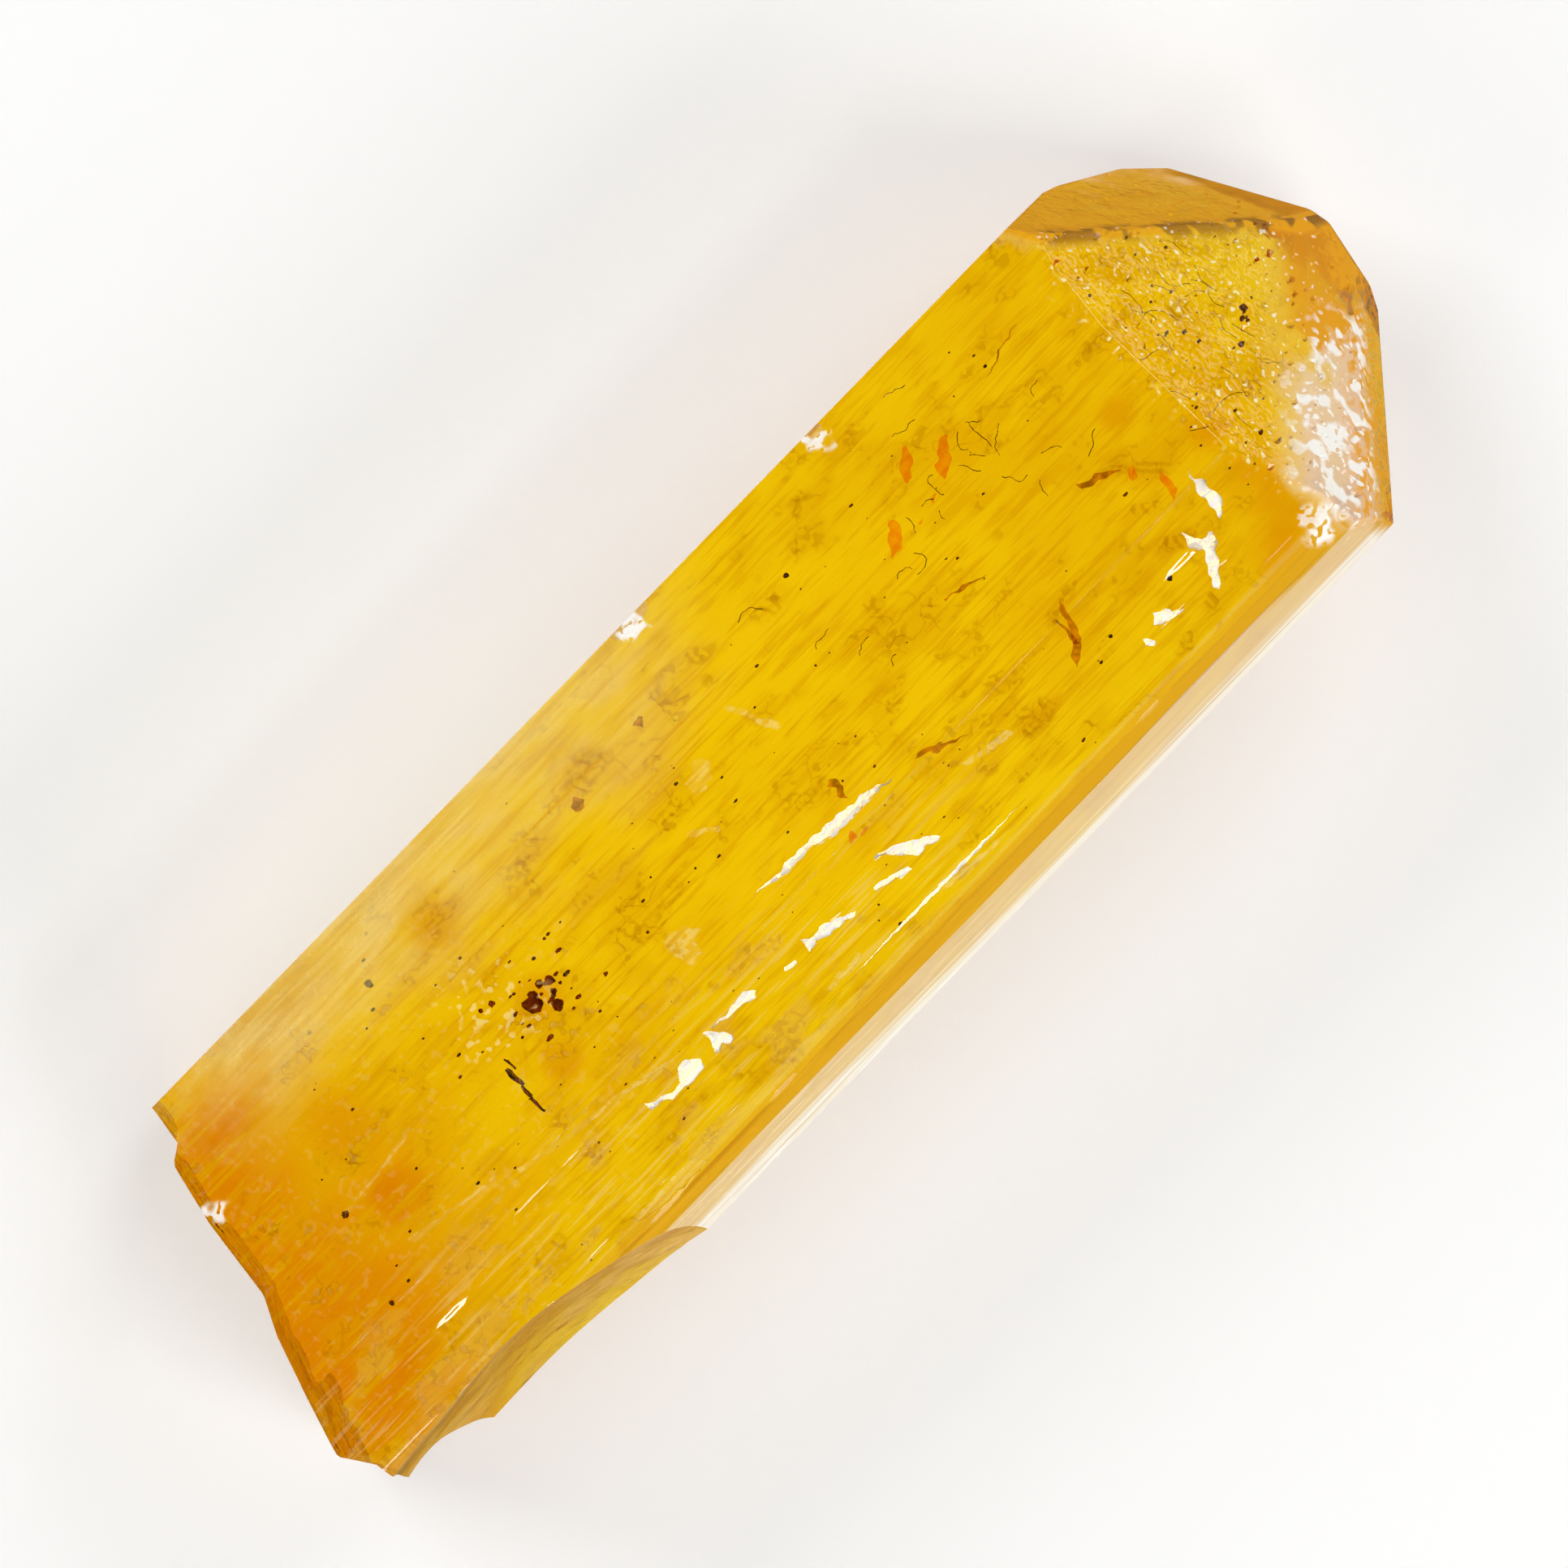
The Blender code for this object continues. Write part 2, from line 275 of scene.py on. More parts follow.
rounding = crystal.data.attributes.new("bevel_weight_edge", "FLOAT", "EDGE")
for edge in crystal.data.edges:
    ends = [crystal.data.vertices[end].co for end in edge.vertices]
    middle = (ends[0] + ends[1]) / 2
    touching = [
        index for index, (normal, far, _) in enumerate(faces) if abs(normal.dot(middle) - far) < TINY * 10
    ]
    on_tip = sum(index >= len(PRISM_FACES) for index in touching)
    width = (PRISM_ROUNDING, TIP_ROUNDING / 2, TIP_ROUNDING)[on_tip]
    if {face_names[index] for index in touching} <= SHOULDER:
        width = SHOULDER_ROUNDING
    rounding.data[edge.index].value = width / SHOULDER_ROUNDING
softened = crystal.modifiers.new("worn edges", "BEVEL")
softened.limit_method = "WEIGHT"
softened.width = SHOULDER_ROUNDING
softened.segments = ROUNDING_STEPS
bpy.ops.object.modifier_apply(modifier=softened.name)

bpy.ops.object.mode_set(mode="EDIT")
slice_up(Vector((0.0, 1.0, 0.0)), *SLICED_ACROSS, CELL_ACROSS)
slice_up(Vector((0.0, 0.0, 1.0)), *SLICED_UP, CELL_UP)
slice_up(Vector((1.0, 0.0, 0.0)), *SLICED_ALONG, CELL_ALONG)
bpy.ops.object.mode_set(mode="OBJECT")

# Growth steps: flat treads that run along the prism and die out, and low hillocks on the termination.
TREAD_WIDTH = 0.42 * MM
TREAD_RUN = 11.0 * MM
TREAD_LEVELS = 5
HILLOCK = 0.75 * MM
FINE_HILLOCK = 0.28 * MM
FADE = 0.35 * MM


def tread_depth(along, across, which):
    """From 0 to 1, in flat levels whose borders run along the prism."""
    wave = noise.noise(Vector((along / TREAD_RUN, across / TREAD_WIDTH, which * 7.3)))
    fine_place = (along / (TREAD_RUN * 0.4), across / (TREAD_WIDTH * 0.45), which * 3.1 + 50.0)
    fine = noise.noise(Vector(fine_place))
    return min(max(math.floor((0.5 + 0.55 * wave + 0.25 * fine) * TREAD_LEVELS) / TREAD_LEVELS, 0.0), 1.0)


def hillock_depth(place, which):
    """From 0 to 1: rounded growth hillocks with finer ones on them."""
    coarse = noise.noise(place / HILLOCK + Vector((which, 0.0, 0.0)))
    fine = noise.noise(place / FINE_HILLOCK + Vector((0.0, which, 0.0)))
    return min(max(0.5 + 0.6 * coarse + 0.35 * fine, 0.0), 1.0)


for vertex in crystal.data.vertices:
    place = vertex.co.copy()
    for index, (normal, far, depth) in enumerate(faces):
        if abs(normal.dot(place) - far) > TINY * 10:
            continue
        room_left = min(
            (other_far - other.dot(place)) / max(math.sin(normal.angle(other)), 0.1)
            for position, (other, other_far, _) in enumerate(faces)
            if position != index and face_names[position] != "worn"
        )
        fade = min(max(room_left / FADE - 0.3, 0.0), 1.0)
        if index < len(PRISM_FACES):
            across = normal.cross(Vector((1.0, 0.0, 0.0))).dot(place)
            relief = tread_depth(place.x, across, index)
        else:
            relief = hillock_depth(place, index)
        vertex.co = place - normal * depth * relief * fade
        break

# The broken base. The break leans, is hollowed and rippled about the point of the blow, and steps where
# it cleaved.
BREAK_RIM = (
    (8.00 * MM, -19.20 * MM),
    (7.00 * MM, -19.34 * MM),
    (5.75 * MM, -19.52 * MM),
    (5.40 * MM, -20.05 * MM),
    (3.55 * MM, -20.52 * MM),
    (0.90 * MM, -20.92 * MM),
    (-0.20 * MM, -21.50 * MM),
    (-1.90 * MM, -22.12 * MM),
    (-3.90 * MM, -22.83 * MM),
    (-4.85 * MM, -22.24 * MM),
    (-8.00 * MM, -21.80 * MM),
)
BREAK_TOP = 5.25 * MM
BREAK_DROP = 10.5 * MM
BREAK_LEAN = 0.03
BREAK_HOLLOW = 0.15 * MM
BLOW_POINT = Vector((0.0, 6.6 * MM, -4.6 * MM))
RIPPLE_PITCH = 1.25 * MM
RIPPLE_HEIGHT = 0.02 * MM
CLEAVAGE_STEP = 0.12 * MM
BREAK_CELL = 0.15 * MM
BREAK_SPAN = (16.0 * MM, 13.0 * MM)
BREAK_BACK = -31.0 * MM


def rim_place(across):
    """Where the break's upper rim lies, for a place across the crystal."""
    for (left, left_place), (right, right_place) in zip(BREAK_RIM, BREAK_RIM[1:]):
        if across >= right:
            return left_place + (right_place - left_place) * (left - across) / (left - right)
    return BREAK_RIM[-1][1]


def break_place(across, up):
    drop = max(BREAK_TOP - up, 0.0)
    hollow = BREAK_HOLLOW * math.sin(math.pi * min(drop / BREAK_DROP, 1.0)) ** 2
    here = Vector((0.0, across, up))
    ripple = RIPPLE_HEIGHT * math.sin(2 * math.pi * (here - BLOW_POINT).length / RIPPLE_PITCH)
    rough = 0.10 * MM * noise.noise(here / (2.6 * MM)) + 0.03 * MM * noise.noise(here / (0.9 * MM))
    inner = min(drop / (1.2 * MM), 1.0)
    wave = hollow + (ripple + rough) * inner
    stepped = math.floor(wave / CLEAVAGE_STEP) * CLEAVAGE_STEP
    cleaved = 0.20 if noise.noise(here / (4.0 * MM) + Vector((3.0, 0.0, 0.0))) > 0.0 else 0.0
    wave += (stepped - wave) * cleaved * inner
    fine = 0.004 * MM * noise.noise(here / (0.35 * MM)) * inner
    return rim_place(across) + BREAK_LEAN * drop + max(wave, 0.0) + fine


def cut_out(cutter, kind):
    """Takes the cutter's shape out of the crystal. kind marks the new faces by their material slot."""
    for polygon in cutter.data.polygons:
        polygon.material_index = kind
    make_active(crystal)
    cut = crystal.modifiers.new(cutter.name, "BOOLEAN")
    cut.operation = "DIFFERENCE"
    cut.solver = "EXACT"
    cut.object = cutter
    bpy.ops.object.modifier_apply(modifier=cut.name)
    bpy.data.objects.remove(cutter, do_unlink=True)


def solid_from(builder, name):
    bmesh.ops.recalc_face_normals(builder, faces=builder.faces)
    mesh = bpy.data.meshes.new(name)
    builder.to_mesh(mesh)
    builder.free()
    solid = bpy.data.objects.new(name, mesh)
    bpy.context.collection.objects.link(solid)
    return solid


GROWN, BROKEN, CHIPPED, SCARRED, HEALED, PITTED = range(6)
for kind in ("grown", "broken", "chipped", "scarred", "healed", "pitted"):
    crystal.data.materials.append(bpy.data.materials.new(kind))

deselect_everything()
columns, rows = (round(span / BREAK_CELL) for span in BREAK_SPAN)
bpy.ops.mesh.primitive_grid_add(x_subdivisions=columns, y_subdivisions=rows, size=1.0)
break_block = bpy.context.object
break_block.name = "break_block"
for vertex in break_block.data.vertices:
    across, up = vertex.co.x * BREAK_SPAN[0], vertex.co.y * BREAK_SPAN[1]
    vertex.co = (break_place(across, up), across, up)
bpy.ops.object.mode_set(mode="EDIT")
bpy.ops.mesh.select_all(action="SELECT")
bpy.ops.mesh.extrude_region_move(TRANSFORM_OT_translate={"value": (-20.0 * MM, 0.0, 0.0)})
bpy.ops.object.mode_set(mode="OBJECT")
for vertex in break_block.data.vertices:
    if vertex.select:
        vertex.co.x = BREAK_BACK
bpy.ops.object.mode_set(mode="EDIT")
bpy.ops.mesh.select_all(action="SELECT")
bpy.ops.mesh.normals_make_consistent(inside=False)
bpy.ops.object.mode_set(mode="OBJECT")
cut_out(break_block, BROKEN)

# Chips struck from the right side of the base, and nicks in the edges: the middle and radii of what
# each follows.
CHIPS = (
    ((-18.0 * MM, -9.1 * MM, 4.5 * MM), (9.7 * MM, 4.0 * MM, 6.8 * MM)),
    ((-21.2 * MM, -8.3 * MM, -0.5 * MM), (3.0 * MM, 2.92 * MM, 5.0 * MM)),
    ((0.4 * MM, 7.00 * MM, 4.75 * MM), (0.95 * MM, 0.42 * MM, 0.45 * MM)),
    ((8.0 * MM, 6.95 * MM, 4.75 * MM), (0.50 * MM, 0.36 * MM, 0.38 * MM)),
    ((-12.4 * MM, -7.05 * MM, 2.30 * MM), (1.10 * MM, 0.50 * MM, 0.90 * MM)),
)
for number, (middle, radii) in enumerate(CHIPS):
    deselect_everything()
    large = radii[0] > 5.0 * MM
    rings = 60 if large else 24
    bpy.ops.mesh.primitive_uv_sphere_add(segments=rings * 2, ring_count=rings, radius=1.0)
    chip = bpy.context.object
    chip.name = f"chip_{number}"
    for vertex in chip.data.vertices:
        swell = 1.0 + 0.012 * math.sin(9.0 * vertex.co.x) + 0.015 * noise.noise(vertex.co * 3.0)
        vertex.co = Vector(vertex.co[axis] * radii[axis] * swell + middle[axis] for axis in range(3))
    cut_out(chip, CHIPPED)

# Growth pits on the termination: shallow, four-sided, drawn out across the face.
PITS = (
    ("main dome", 330, (-5.6 * MM, 6.0 * MM), (-0.6 * MM, 4.9 * MM)),
    ("right frosted", 90, (-6.0 * MM, -0.4 * MM), (-1.0 * MM, 3.6 * MM)),
    ("left pyramid", 40, (2.2 * MM, 6.4 * MM), (-2.6 * MM, 2.8 * MM)),
)
PIT_SIZES = (0.05 * MM, 0.17 * MM)
PIT_DEPTH_SHARE = 0.45
PIT_STRETCH = 1.6

draw = random.Random(8)
pits = bmesh.new()
placed = []
for name, wanted, y_range, z_range in PITS:
    normal, far, _ = faces[face_names.index(name)]
    for _ in range(wanted):
        y, z = draw.uniform(*y_range), draw.uniform(*z_range)
        radius = PIT_SIZES[0] + (PIT_SIZES[1] - PIT_SIZES[0]) * draw.random() ** 2
        turn = draw.uniform(-0.5, 0.5)
        middle = Vector(((far - normal.y * y - normal.z * z) / normal.x, y, z))
        if any((middle - other).length < 1.5 * (radius + size) for other, size in placed):
            continue
        placed.append((middle, radius))
        stand = normal.to_track_quat("Z", "Y").to_matrix().to_4x4()
        drawn_out = Matrix.Diagonal((1.0, PIT_STRETCH, 1.0, 1.0))
        turned = Matrix.Rotation(math.pi / 4 + turn, 4, "Z")
        bmesh.ops.create_cone(
            pits,
            cap_ends=True,
            segments=draw.choice((4, 5, 6)),
            radius1=0.0,
            radius2=radius * 2,
            depth=radius * PIT_DEPTH_SHARE * 4,
            matrix=Matrix.Translation(middle) @ stand @ drawn_out @ turned,
        )
bmesh.ops.remove_doubles(pits, verts=pits.verts, dist=TINY * 10)
cut_out(solid_from(pits, "growth_pits"), PITTED)

# Shallow scars on the top and right faces, where flakes of the last growth are missing: outlines seen
# from above, as (along, across) in millimetres. The deeper ones have fine fractures and floors that
# mirror the scar lamp, and are also painted white, a painted reflection; the healed ones are only pale.
WHITE_SCARS = (
    ((2.59, -1.72), (1.7, -1.46), (0.79, -1.33), (-0.91, -1.24), (-2.82, -1.25), (-1.6, -1.45),
     (-0.53, -1.43), (0.18, -1.69), (1.03, -1.68)),
    ((0.39, -2.97), (0.76, -2.97), (1.39, -3.24), (2.14, -3.70), (2.20, -3.94), (1.72, -3.75),
     (1.35, -3.81), (0.94, -3.32)),
    ((1.03, -4.02), (0.94, -3.75), (0.50, -3.68), (-0.18, -3.52), (-0.21, -3.62), (0.42, -3.83)),
    ((-2.74, -3.15), (-2.08, -3.23), (-1.41, -3.47), (-1.0, -3.66), (-1.18, -3.77), (-1.57, -3.62),
     (-2.38, -3.52), (-2.78, -3.48)),
    ((-3.70, -3.29), (-3.27, -3.36), (-3.27, -3.49), (-3.72, -3.44)),
    ((-6.35, -3.00), (-5.80, -3.02), (-5.26, -2.96), (-4.98, -2.89), (-4.65, -3.16), (-4.90, -3.34),
     (-5.20, -3.20), (-6.02, -3.10)),
    ((-6.62, -2.96), (-6.33, -3.12), (-6.11, -3.62), (-6.29, -3.73), (-6.47, -3.55), (-6.77, -3.61),
     (-6.72, -3.36)),
    ((-9.27, -3.18), (-8.89, -3.40), (-8.11, -3.46), (-7.89, -3.14), (-7.52, -3.08), (-7.22, -3.39),
     (-7.33, -3.65), (-8.13, -3.68), (-8.56, -3.67), (-9.26, -3.39)),
    ((13.37, -2.79), (13.64, -3.27), (14.01, -3.45), (14.01, -3.65), (13.70, -3.76), (13.52, -4.13),
     (12.99, -4.71), (12.86, -4.51), (13.15, -4.03), (13.43, -3.63), (13.23, -3.26)),
    ((14.81, -1.53), (14.76, -1.90), (14.91, -2.19), (14.89, -2.60), (14.78, -3.05), (14.47, -3.28),
     (14.55, -2.67), (14.55, -2.24)),
    ((11.11, -3.82), (11.44, -3.92), (11.55, -4.24), (11.88, -4.31), (11.50, -4.39), (10.96, -4.11)),
    ((10.38, -4.12), (10.66, -4.41), (10.44, -4.52), (10.29, -4.30)),
    ((4.71, -4.90), (2.61, -4.85), (0.57, -4.83), (-3.00, -4.90), (0.54, -4.95), (2.61, -4.96)),
)
HEALED_SCARS = (
    ((-16.89, -0.93), (-15.77, -1.16), (-14.19, -1.44), (-13.61, -1.46), (-14.18, -1.58), (-15.21, -1.37),
     (-16.84, -1.18)),
    ((-1.41, 2.72), (-1.03, 2.73), (-0.90, 2.40), (-1.12, 2.05), (-1.54, 1.91), (-1.95, 2.03),
     (-1.81, 2.43)),
    ((-5.52, -0.19), (-4.79, -0.37), (-4.56, -0.77), (-4.92, -0.92), (-4.96, -1.28), (-5.46, -1.34),
     (-5.68, -0.47)),
    ((3.40, -5.14), (1.79, -5.00), (1.17, -4.94), (1.15, -5.06), (1.80, -5.15), (3.40, -5.27)),
    ((-1.80, -4.53), (-2.80, -4.52), (-3.20, -4.65), (-3.18, -4.76), (-1.81, -4.68)),
    ((-13.21, -1.80), (-11.53, -2.14), (-9.69, -2.33), (-7.28, -2.95), (-9.75, -2.52), (-11.58, -2.32),
     (-13.21, -2.00)),
    ((-17.11, 0.99), (-16.07, 1.01), (-15.30, 1.17), (-14.50, 1.29), (-14.50, 1.16), (-15.32, 1.02),
     (-17.05, 0.86)),
    ((-11.99, -5.22), (-11.32, -5.23), (-9.32, -5.26), (-9.16, -5.60), (-11.33, -5.57)),
    ((4.04, -2.81), (4.74, -2.96), (5.77, -3.10), (5.87, -3.34), (5.12, -3.25), (4.29, -3.07)),
    ((0.50, 3.30), (0.72, 3.10), (0.97, 2.70), (1.02, 2.30), (1.32, 1.80), (1.36, 1.58), (1.10, 1.72),
     (0.84, 2.20), (0.76, 2.62), (0.53, 3.00)),
    ((-2.82, 1.48), (-2.40, 1.24), (-2.00, 0.94), (-2.05, 0.78), (-2.44, 1.04), (-2.85, 1.30)),
)
SCAR_DEPTH = 0.05 * MM
HEALED_DEPTH = 0.03 * MM
SCAR_TILT = math.tan(math.radians(13.0))
TOP_OF_CUT = 6.0 * MM
RAGGED_STEP = 0.11
RAGGED_SHIFT = 0.13
RAGGED_PITCH = 3.6
SMOOTH_UNDER = math.radians(24.0)


def surface_height(across):
    """How high the crystal's upper prism faces stand above its axis, at a place across it."""
    upper = [face for face in faces[: len(PRISM_FACES)] if face[0].z > 0.2]
    return min((far - normal.y * across) / normal.z for normal, far, _ in upper)


ELSEWHERE = Vector((9.3, 0.0, 0.0))


def ragged(outline, step, shift):
    """The same outline, in millimetres, its sides divided into steps and their ends shifted at random."""
    spots = []
    for (x, y), (next_x, next_y) in zip(outline, outline[1:] + outline[:1]):
        pieces = max(round(math.hypot(next_x - x, next_y - y) / step), 1)
        for piece in range(pieces):
            share = piece / pieces
            spot = Vector((x + (next_x - x) * share, y + (next_y - y) * share, 0.0))
            wave = spot * RAGGED_PITCH
            along_shift = shift * noise.noise(wave)
            across_shift = shift * noise.noise(wave + ELSEWHERE)
            spots.append((spot.x + along_shift, spot.y + across_shift))
    return spots


def raggedness(outline):
    """How far an outline's edge may be shifted: less for a narrow one, which stays a straight line."""
    ends = zip(outline, outline[1:] + outline[:1])
    area = abs(sum(x * next_y - next_x * y for (x, y), (next_x, next_y) in ends)) / 2
    length = max(max(numbers) - min(numbers) for numbers in zip(*outline))
    return min(area / length * 0.5, RAGGED_SHIFT)


def scars_cutter(outlines, tilt, name):
    """Thin prisms over the outlines. Their floors dip to the right by the tilt, or follow the faces."""
    builder = bmesh.new()
    for outline in outlines:
        spots = [(x * MM, y * MM) for x, y in ragged(outline, RAGGED_STEP, raggedness(outline))]
        middle = sum(y for _, y in spots) / len(spots)
        floor_height = min(surface_height(y) - (y - middle) * tilt for _, y in spots) - SCAR_DEPTH
        if tilt:
            floors = [floor_height + (y - middle) * tilt for _, y in spots]
        else:
            floors = [surface_height(y) - HEALED_DEPTH for _, y in spots]
        low = [builder.verts.new((x, y, z)) for (x, y), z in zip(spots, floors)]
        high = [builder.verts.new((x, y, TOP_OF_CUT)) for x, y in spots]
        builder.faces.new(low)
        builder.faces.new(high[::-1])
        for index in range(len(spots)):
            after = (index + 1) % len(spots)
            builder.faces.new((low[index], high[index], high[after], low[after]))
    return solid_from(builder, name)


cut_out(scars_cutter(WHITE_SCARS, SCAR_TILT, "white_scars"), SCARRED)
cut_out(scars_cutter(HEALED_SCARS, 0.0, "healed_scars"), HEALED)

crystal.data.transform(Matrix.Translation(AXIS_PLACE))
make_active(crystal)
bpy.ops.object.shade_smooth_by_angle(angle=SMOOTH_UNDER)

# What the finish follows: float attributes for the broken, chipped and scarred faces, and for the parts
# of the tip.
ON_FACE_DEPTH = 0.08 * MM
ON_FACE_REACH = 0.30 * MM
kinds = [polygon.material_index for polygon in crystal.data.polygons]
for name, own_kind in (("broken", BROKEN), ("chipped", CHIPPED), ("scarred", SCARRED), ("healed", HEALED)):
    layer = crystal.data.attributes.new(name, "FLOAT", "FACE")
    for polygon, kind in zip(crystal.data.polygons, kinds):
        layer.data[polygon.index].value = float(kind == own_kind)
for name, own_faces in (
    ("frosted", ("right frosted",)),
    ("pyramid", ("left pyramid",)),
    ("sliver", ("right sliver",)),
    ("dome", ("main dome",)),
    ("etched", [face[0] for face in TERMINATION_FACES]),
):
    layer = crystal.data.attributes.new(name, "FLOAT", "POINT")
    for vertex in crystal.data.vertices:
        spot = vertex.co - AXIS_PLACE
        planes = (faces[face_names.index(own)] for own in own_faces)
        under = min(far - normal.dot(spot) for normal, far, _ in planes)
        layer.data[vertex.index].value = min(max(1.0 - (under - ON_FACE_DEPTH) / ON_FACE_REACH, 0.0), 1.0)

# Orange stains in healed cracks: the middle of each in plan and how far it reaches, in millimetres.
STAINS = (
    (16.1, -1.2, 1.0),
    (15.9, -3.5, 1.7),
    (14.9, -4.9, 1.5),
    (21.1, -0.3, 0.9),
    (19.3, 0.0, 0.8),
    (14.6, 1.0, 0.9),
    (-9.8, 4.8, 1.3),
    (-10.1, -0.6, 1.1),
    (-9.2, 1.2, 1.3),
    (-15.8, 2.5, 1.8),
    (-16.2, 0.1, 1.5),
    (-20.4, 2.5, 1.1),
    (-20.3, 0.7, 1.2),
    (-20.9, -2.1, 1.9),
)
layer = crystal.data.attributes.new("orange_stain", "FLOAT", "POINT")
for vertex in crystal.data.vertices:
    spot = (vertex.co - AXIS_PLACE) / MM
    inward = (1.0 - math.hypot(spot.x - x, spot.y - y) / reach for x, y, reach in STAINS)
    layer.data[vertex.index].value = max(max(inward), 0.0)
crystal.data.materials.clear()


class Shade:
    """A number, colour or vector in a material. Arithmetic on numbers adds the Math nodes for it."""

    def __init__(self, tree, socket=None):
        self.tree = tree
        self.socket = socket

    def node(self, kind, settings, sockets, output=0):
        """Adds a node: its settings first, then the values or links of its sockets."""
        made = self.tree.nodes.new(kind)
        for name, value in settings.items():
            if name == "stops":
                for stop in value[2:]:
                    made.color_ramp.elements.new(stop[0])
                for element, (position, colour) in zip(made.color_ramp.elements, value):
                    element.position = position
                    element.color = colour
            else:
                setattr(made, name, value)
        for name, value in sockets.items():
            if isinstance(value, Shade):
                self.tree.links.new(value.socket, made.inputs[name])
            else:
                made.inputs[name].default_value = value
        return Shade(self.tree, made.outputs[output])

    def math(self, operation, *values):
        return self.node("ShaderNodeMath", {"operation": operation}, dict(enumerate(values)))

    def __add__(self, other):
        return self.math("ADD", self, other)

    def __sub__(self, other):
        return self.math("SUBTRACT", self, other)

    def __rsub__(self, other):
        return self.math("SUBTRACT", other, self)

    def __mul__(self, other):
        return self.math("MULTIPLY", self, other)

    __radd__ = __add__
    __rmul__ = __mul__

    def ease(self, low, high):
        """From 0 to 1, smoothly, as this number goes from low to high."""
        return self.node(
            "ShaderNodeMapRange",
            {"interpolation_type": "SMOOTHSTEP"},
            {"Value": self, "From Min": low, "From Max": high},
        )

    def blend(self, first, second):
        """The first colour where this number is 0 and the second where it is 1."""
        return self.node("ShaderNodeMix", {"data_type": "RGBA"}, {0: self, 6: first, 7: second}, output=2)

    def near(self, x, y, reach):
        """From 1 at a place in plan, in millimetres from the axis middle, to 0 at its reach from there."""
        flat = self.node("ShaderNodeVectorMath", {"operation": "MULTIPLY"}, {0: self, 1: (1.0, 1.0, 0.0)})
        middle = (x * MM + AXIS_PLACE.x, y * MM, 0.0)
        away = self.node("ShaderNodeVectorMath", {"operation": "DISTANCE"}, {0: flat, 1: middle}, output=1)
        return 1.0 - away.ease(reach * 0.5 * MM, reach * MM)

    def cloud(self, place, scale, detail=3.0, roughness=0.55):
        """Noise from 0 to 1 at a place, with features about 1/scale of a metre in size along each axis."""
        stretched = self.node("ShaderNodeMapping", {}, {"Vector": place, "Scale": scale})
        sockets = {"Vector": stretched, "Scale": 1.0, "Detail": detail, "Roughness": roughness}
        return self.node("ShaderNodeTexNoise", {}, sockets)


CLEAR_TINT = (1.0, 0.95, 0.85, 1.0)
OCHRE_TINT = (0.82, 0.62, 0.25, 1.0)
STAINED_TINT = (0.80, 0.34, 0.10, 1.0)
HAIR_TINT = (0.42, 0.22, 0.05, 1.0)
CREAM_BLOOM = (0.96, 0.78, 0.28, 1.0)
LEMON_SPARKLE = (1.0, 0.80, 0.12, 1.0)
WHITE_HIGHLIGHT = (0.98, 0.95, 0.88, 1.0)
ROSY_FROST_AND_SHEEN = (0.92, 0.76, 0.62, 1.0)
ORANGE_BLOOM = (0.82, 0.36, 0.010, 1.0)
HONEY_BLOOM = (0.60, 0.34, 0.030, 1.0)
SAND_HIGHLIGHT = (0.88, 0.56, 0.20, 1.0)
AMBER_BLOOM = (0.76, 0.39, 0.004, 1.0)
BROWN_BLOOM = (0.34, 0.15, 0.02, 1.0)
BLOOM_IOR = 1.18
TOPAZ_IOR = 1.62
ABSORPTION_COLOUR = (0.9935, 0.925, 0.0, 1.0)
ABSORPTION_DENSITY = 600.0

topaz = bpy.data.materials.new("golden_topaz")
topaz.use_nodes = True
tree = topaz.node_tree
shade = Shade(tree)
place = shade.node("ShaderNodeTexCoord", {}, {}, output="Object")
split = tree.nodes.new("ShaderNodeSeparateXYZ")
tree.links.new(place.socket, split.inputs[0])
along, across, up = (Shade(tree, split.outputs[axis]) for axis in range(3))
is_broken, is_chipped, is_scarred, is_healed, is_stained = (
    shade.node("ShaderNodeAttribute", {"attribute_name": name}, {}, output="Fac")
    for name in ("broken", "chipped", "scarred", "healed", "orange_stain")
)
is_frosted, is_pyramid, is_sliver, is_dome, is_etched = (
    shade.node("ShaderNodeAttribute", {"attribute_name": name}, {}, output="Fac")
    for name in ("frosted", "pyramid", "sliver", "dome", "etched")
)

streaks = shade.cloud(place, (90.0, 4200.0, 4200.0), detail=1.0)
strokes = shade.cloud(place, (380.0, 6000.0, 6000.0), detail=1.0)
blotches = shade.cloud(place, (420.0, 800.0, 800.0), detail=2.0)
patches = shade.cloud(place, (160.0, 300.0, 300.0), detail=1.0)
grit = shade.cloud(place, (5200.0, 5200.0, 5200.0), detail=0.0)
lumps = shade.cloud(place, (1500.0, 1500.0, 1500.0), detail=1.0)
bent = shade.node(
    "ShaderNodeVectorMath",
    {"operation": "MULTIPLY_ADD"},
    {0: lumps - 0.5, 1: (0.0014, -0.0014, 0.0), 2: place},
)
hairs = 1.0 - shade.node(
    "ShaderNodeTexVoronoi", {"feature": "DISTANCE_TO_EDGE"}, {"Vector": bent, "Scale": 800.0}
).ease(0.010, 0.045)
beads = 1.0 - shade.node(
    "ShaderNodeTexVoronoi", {"feature": "F1"}, {"Vector": bent, "Scale": 2600.0}
).ease(0.18, 0.36)
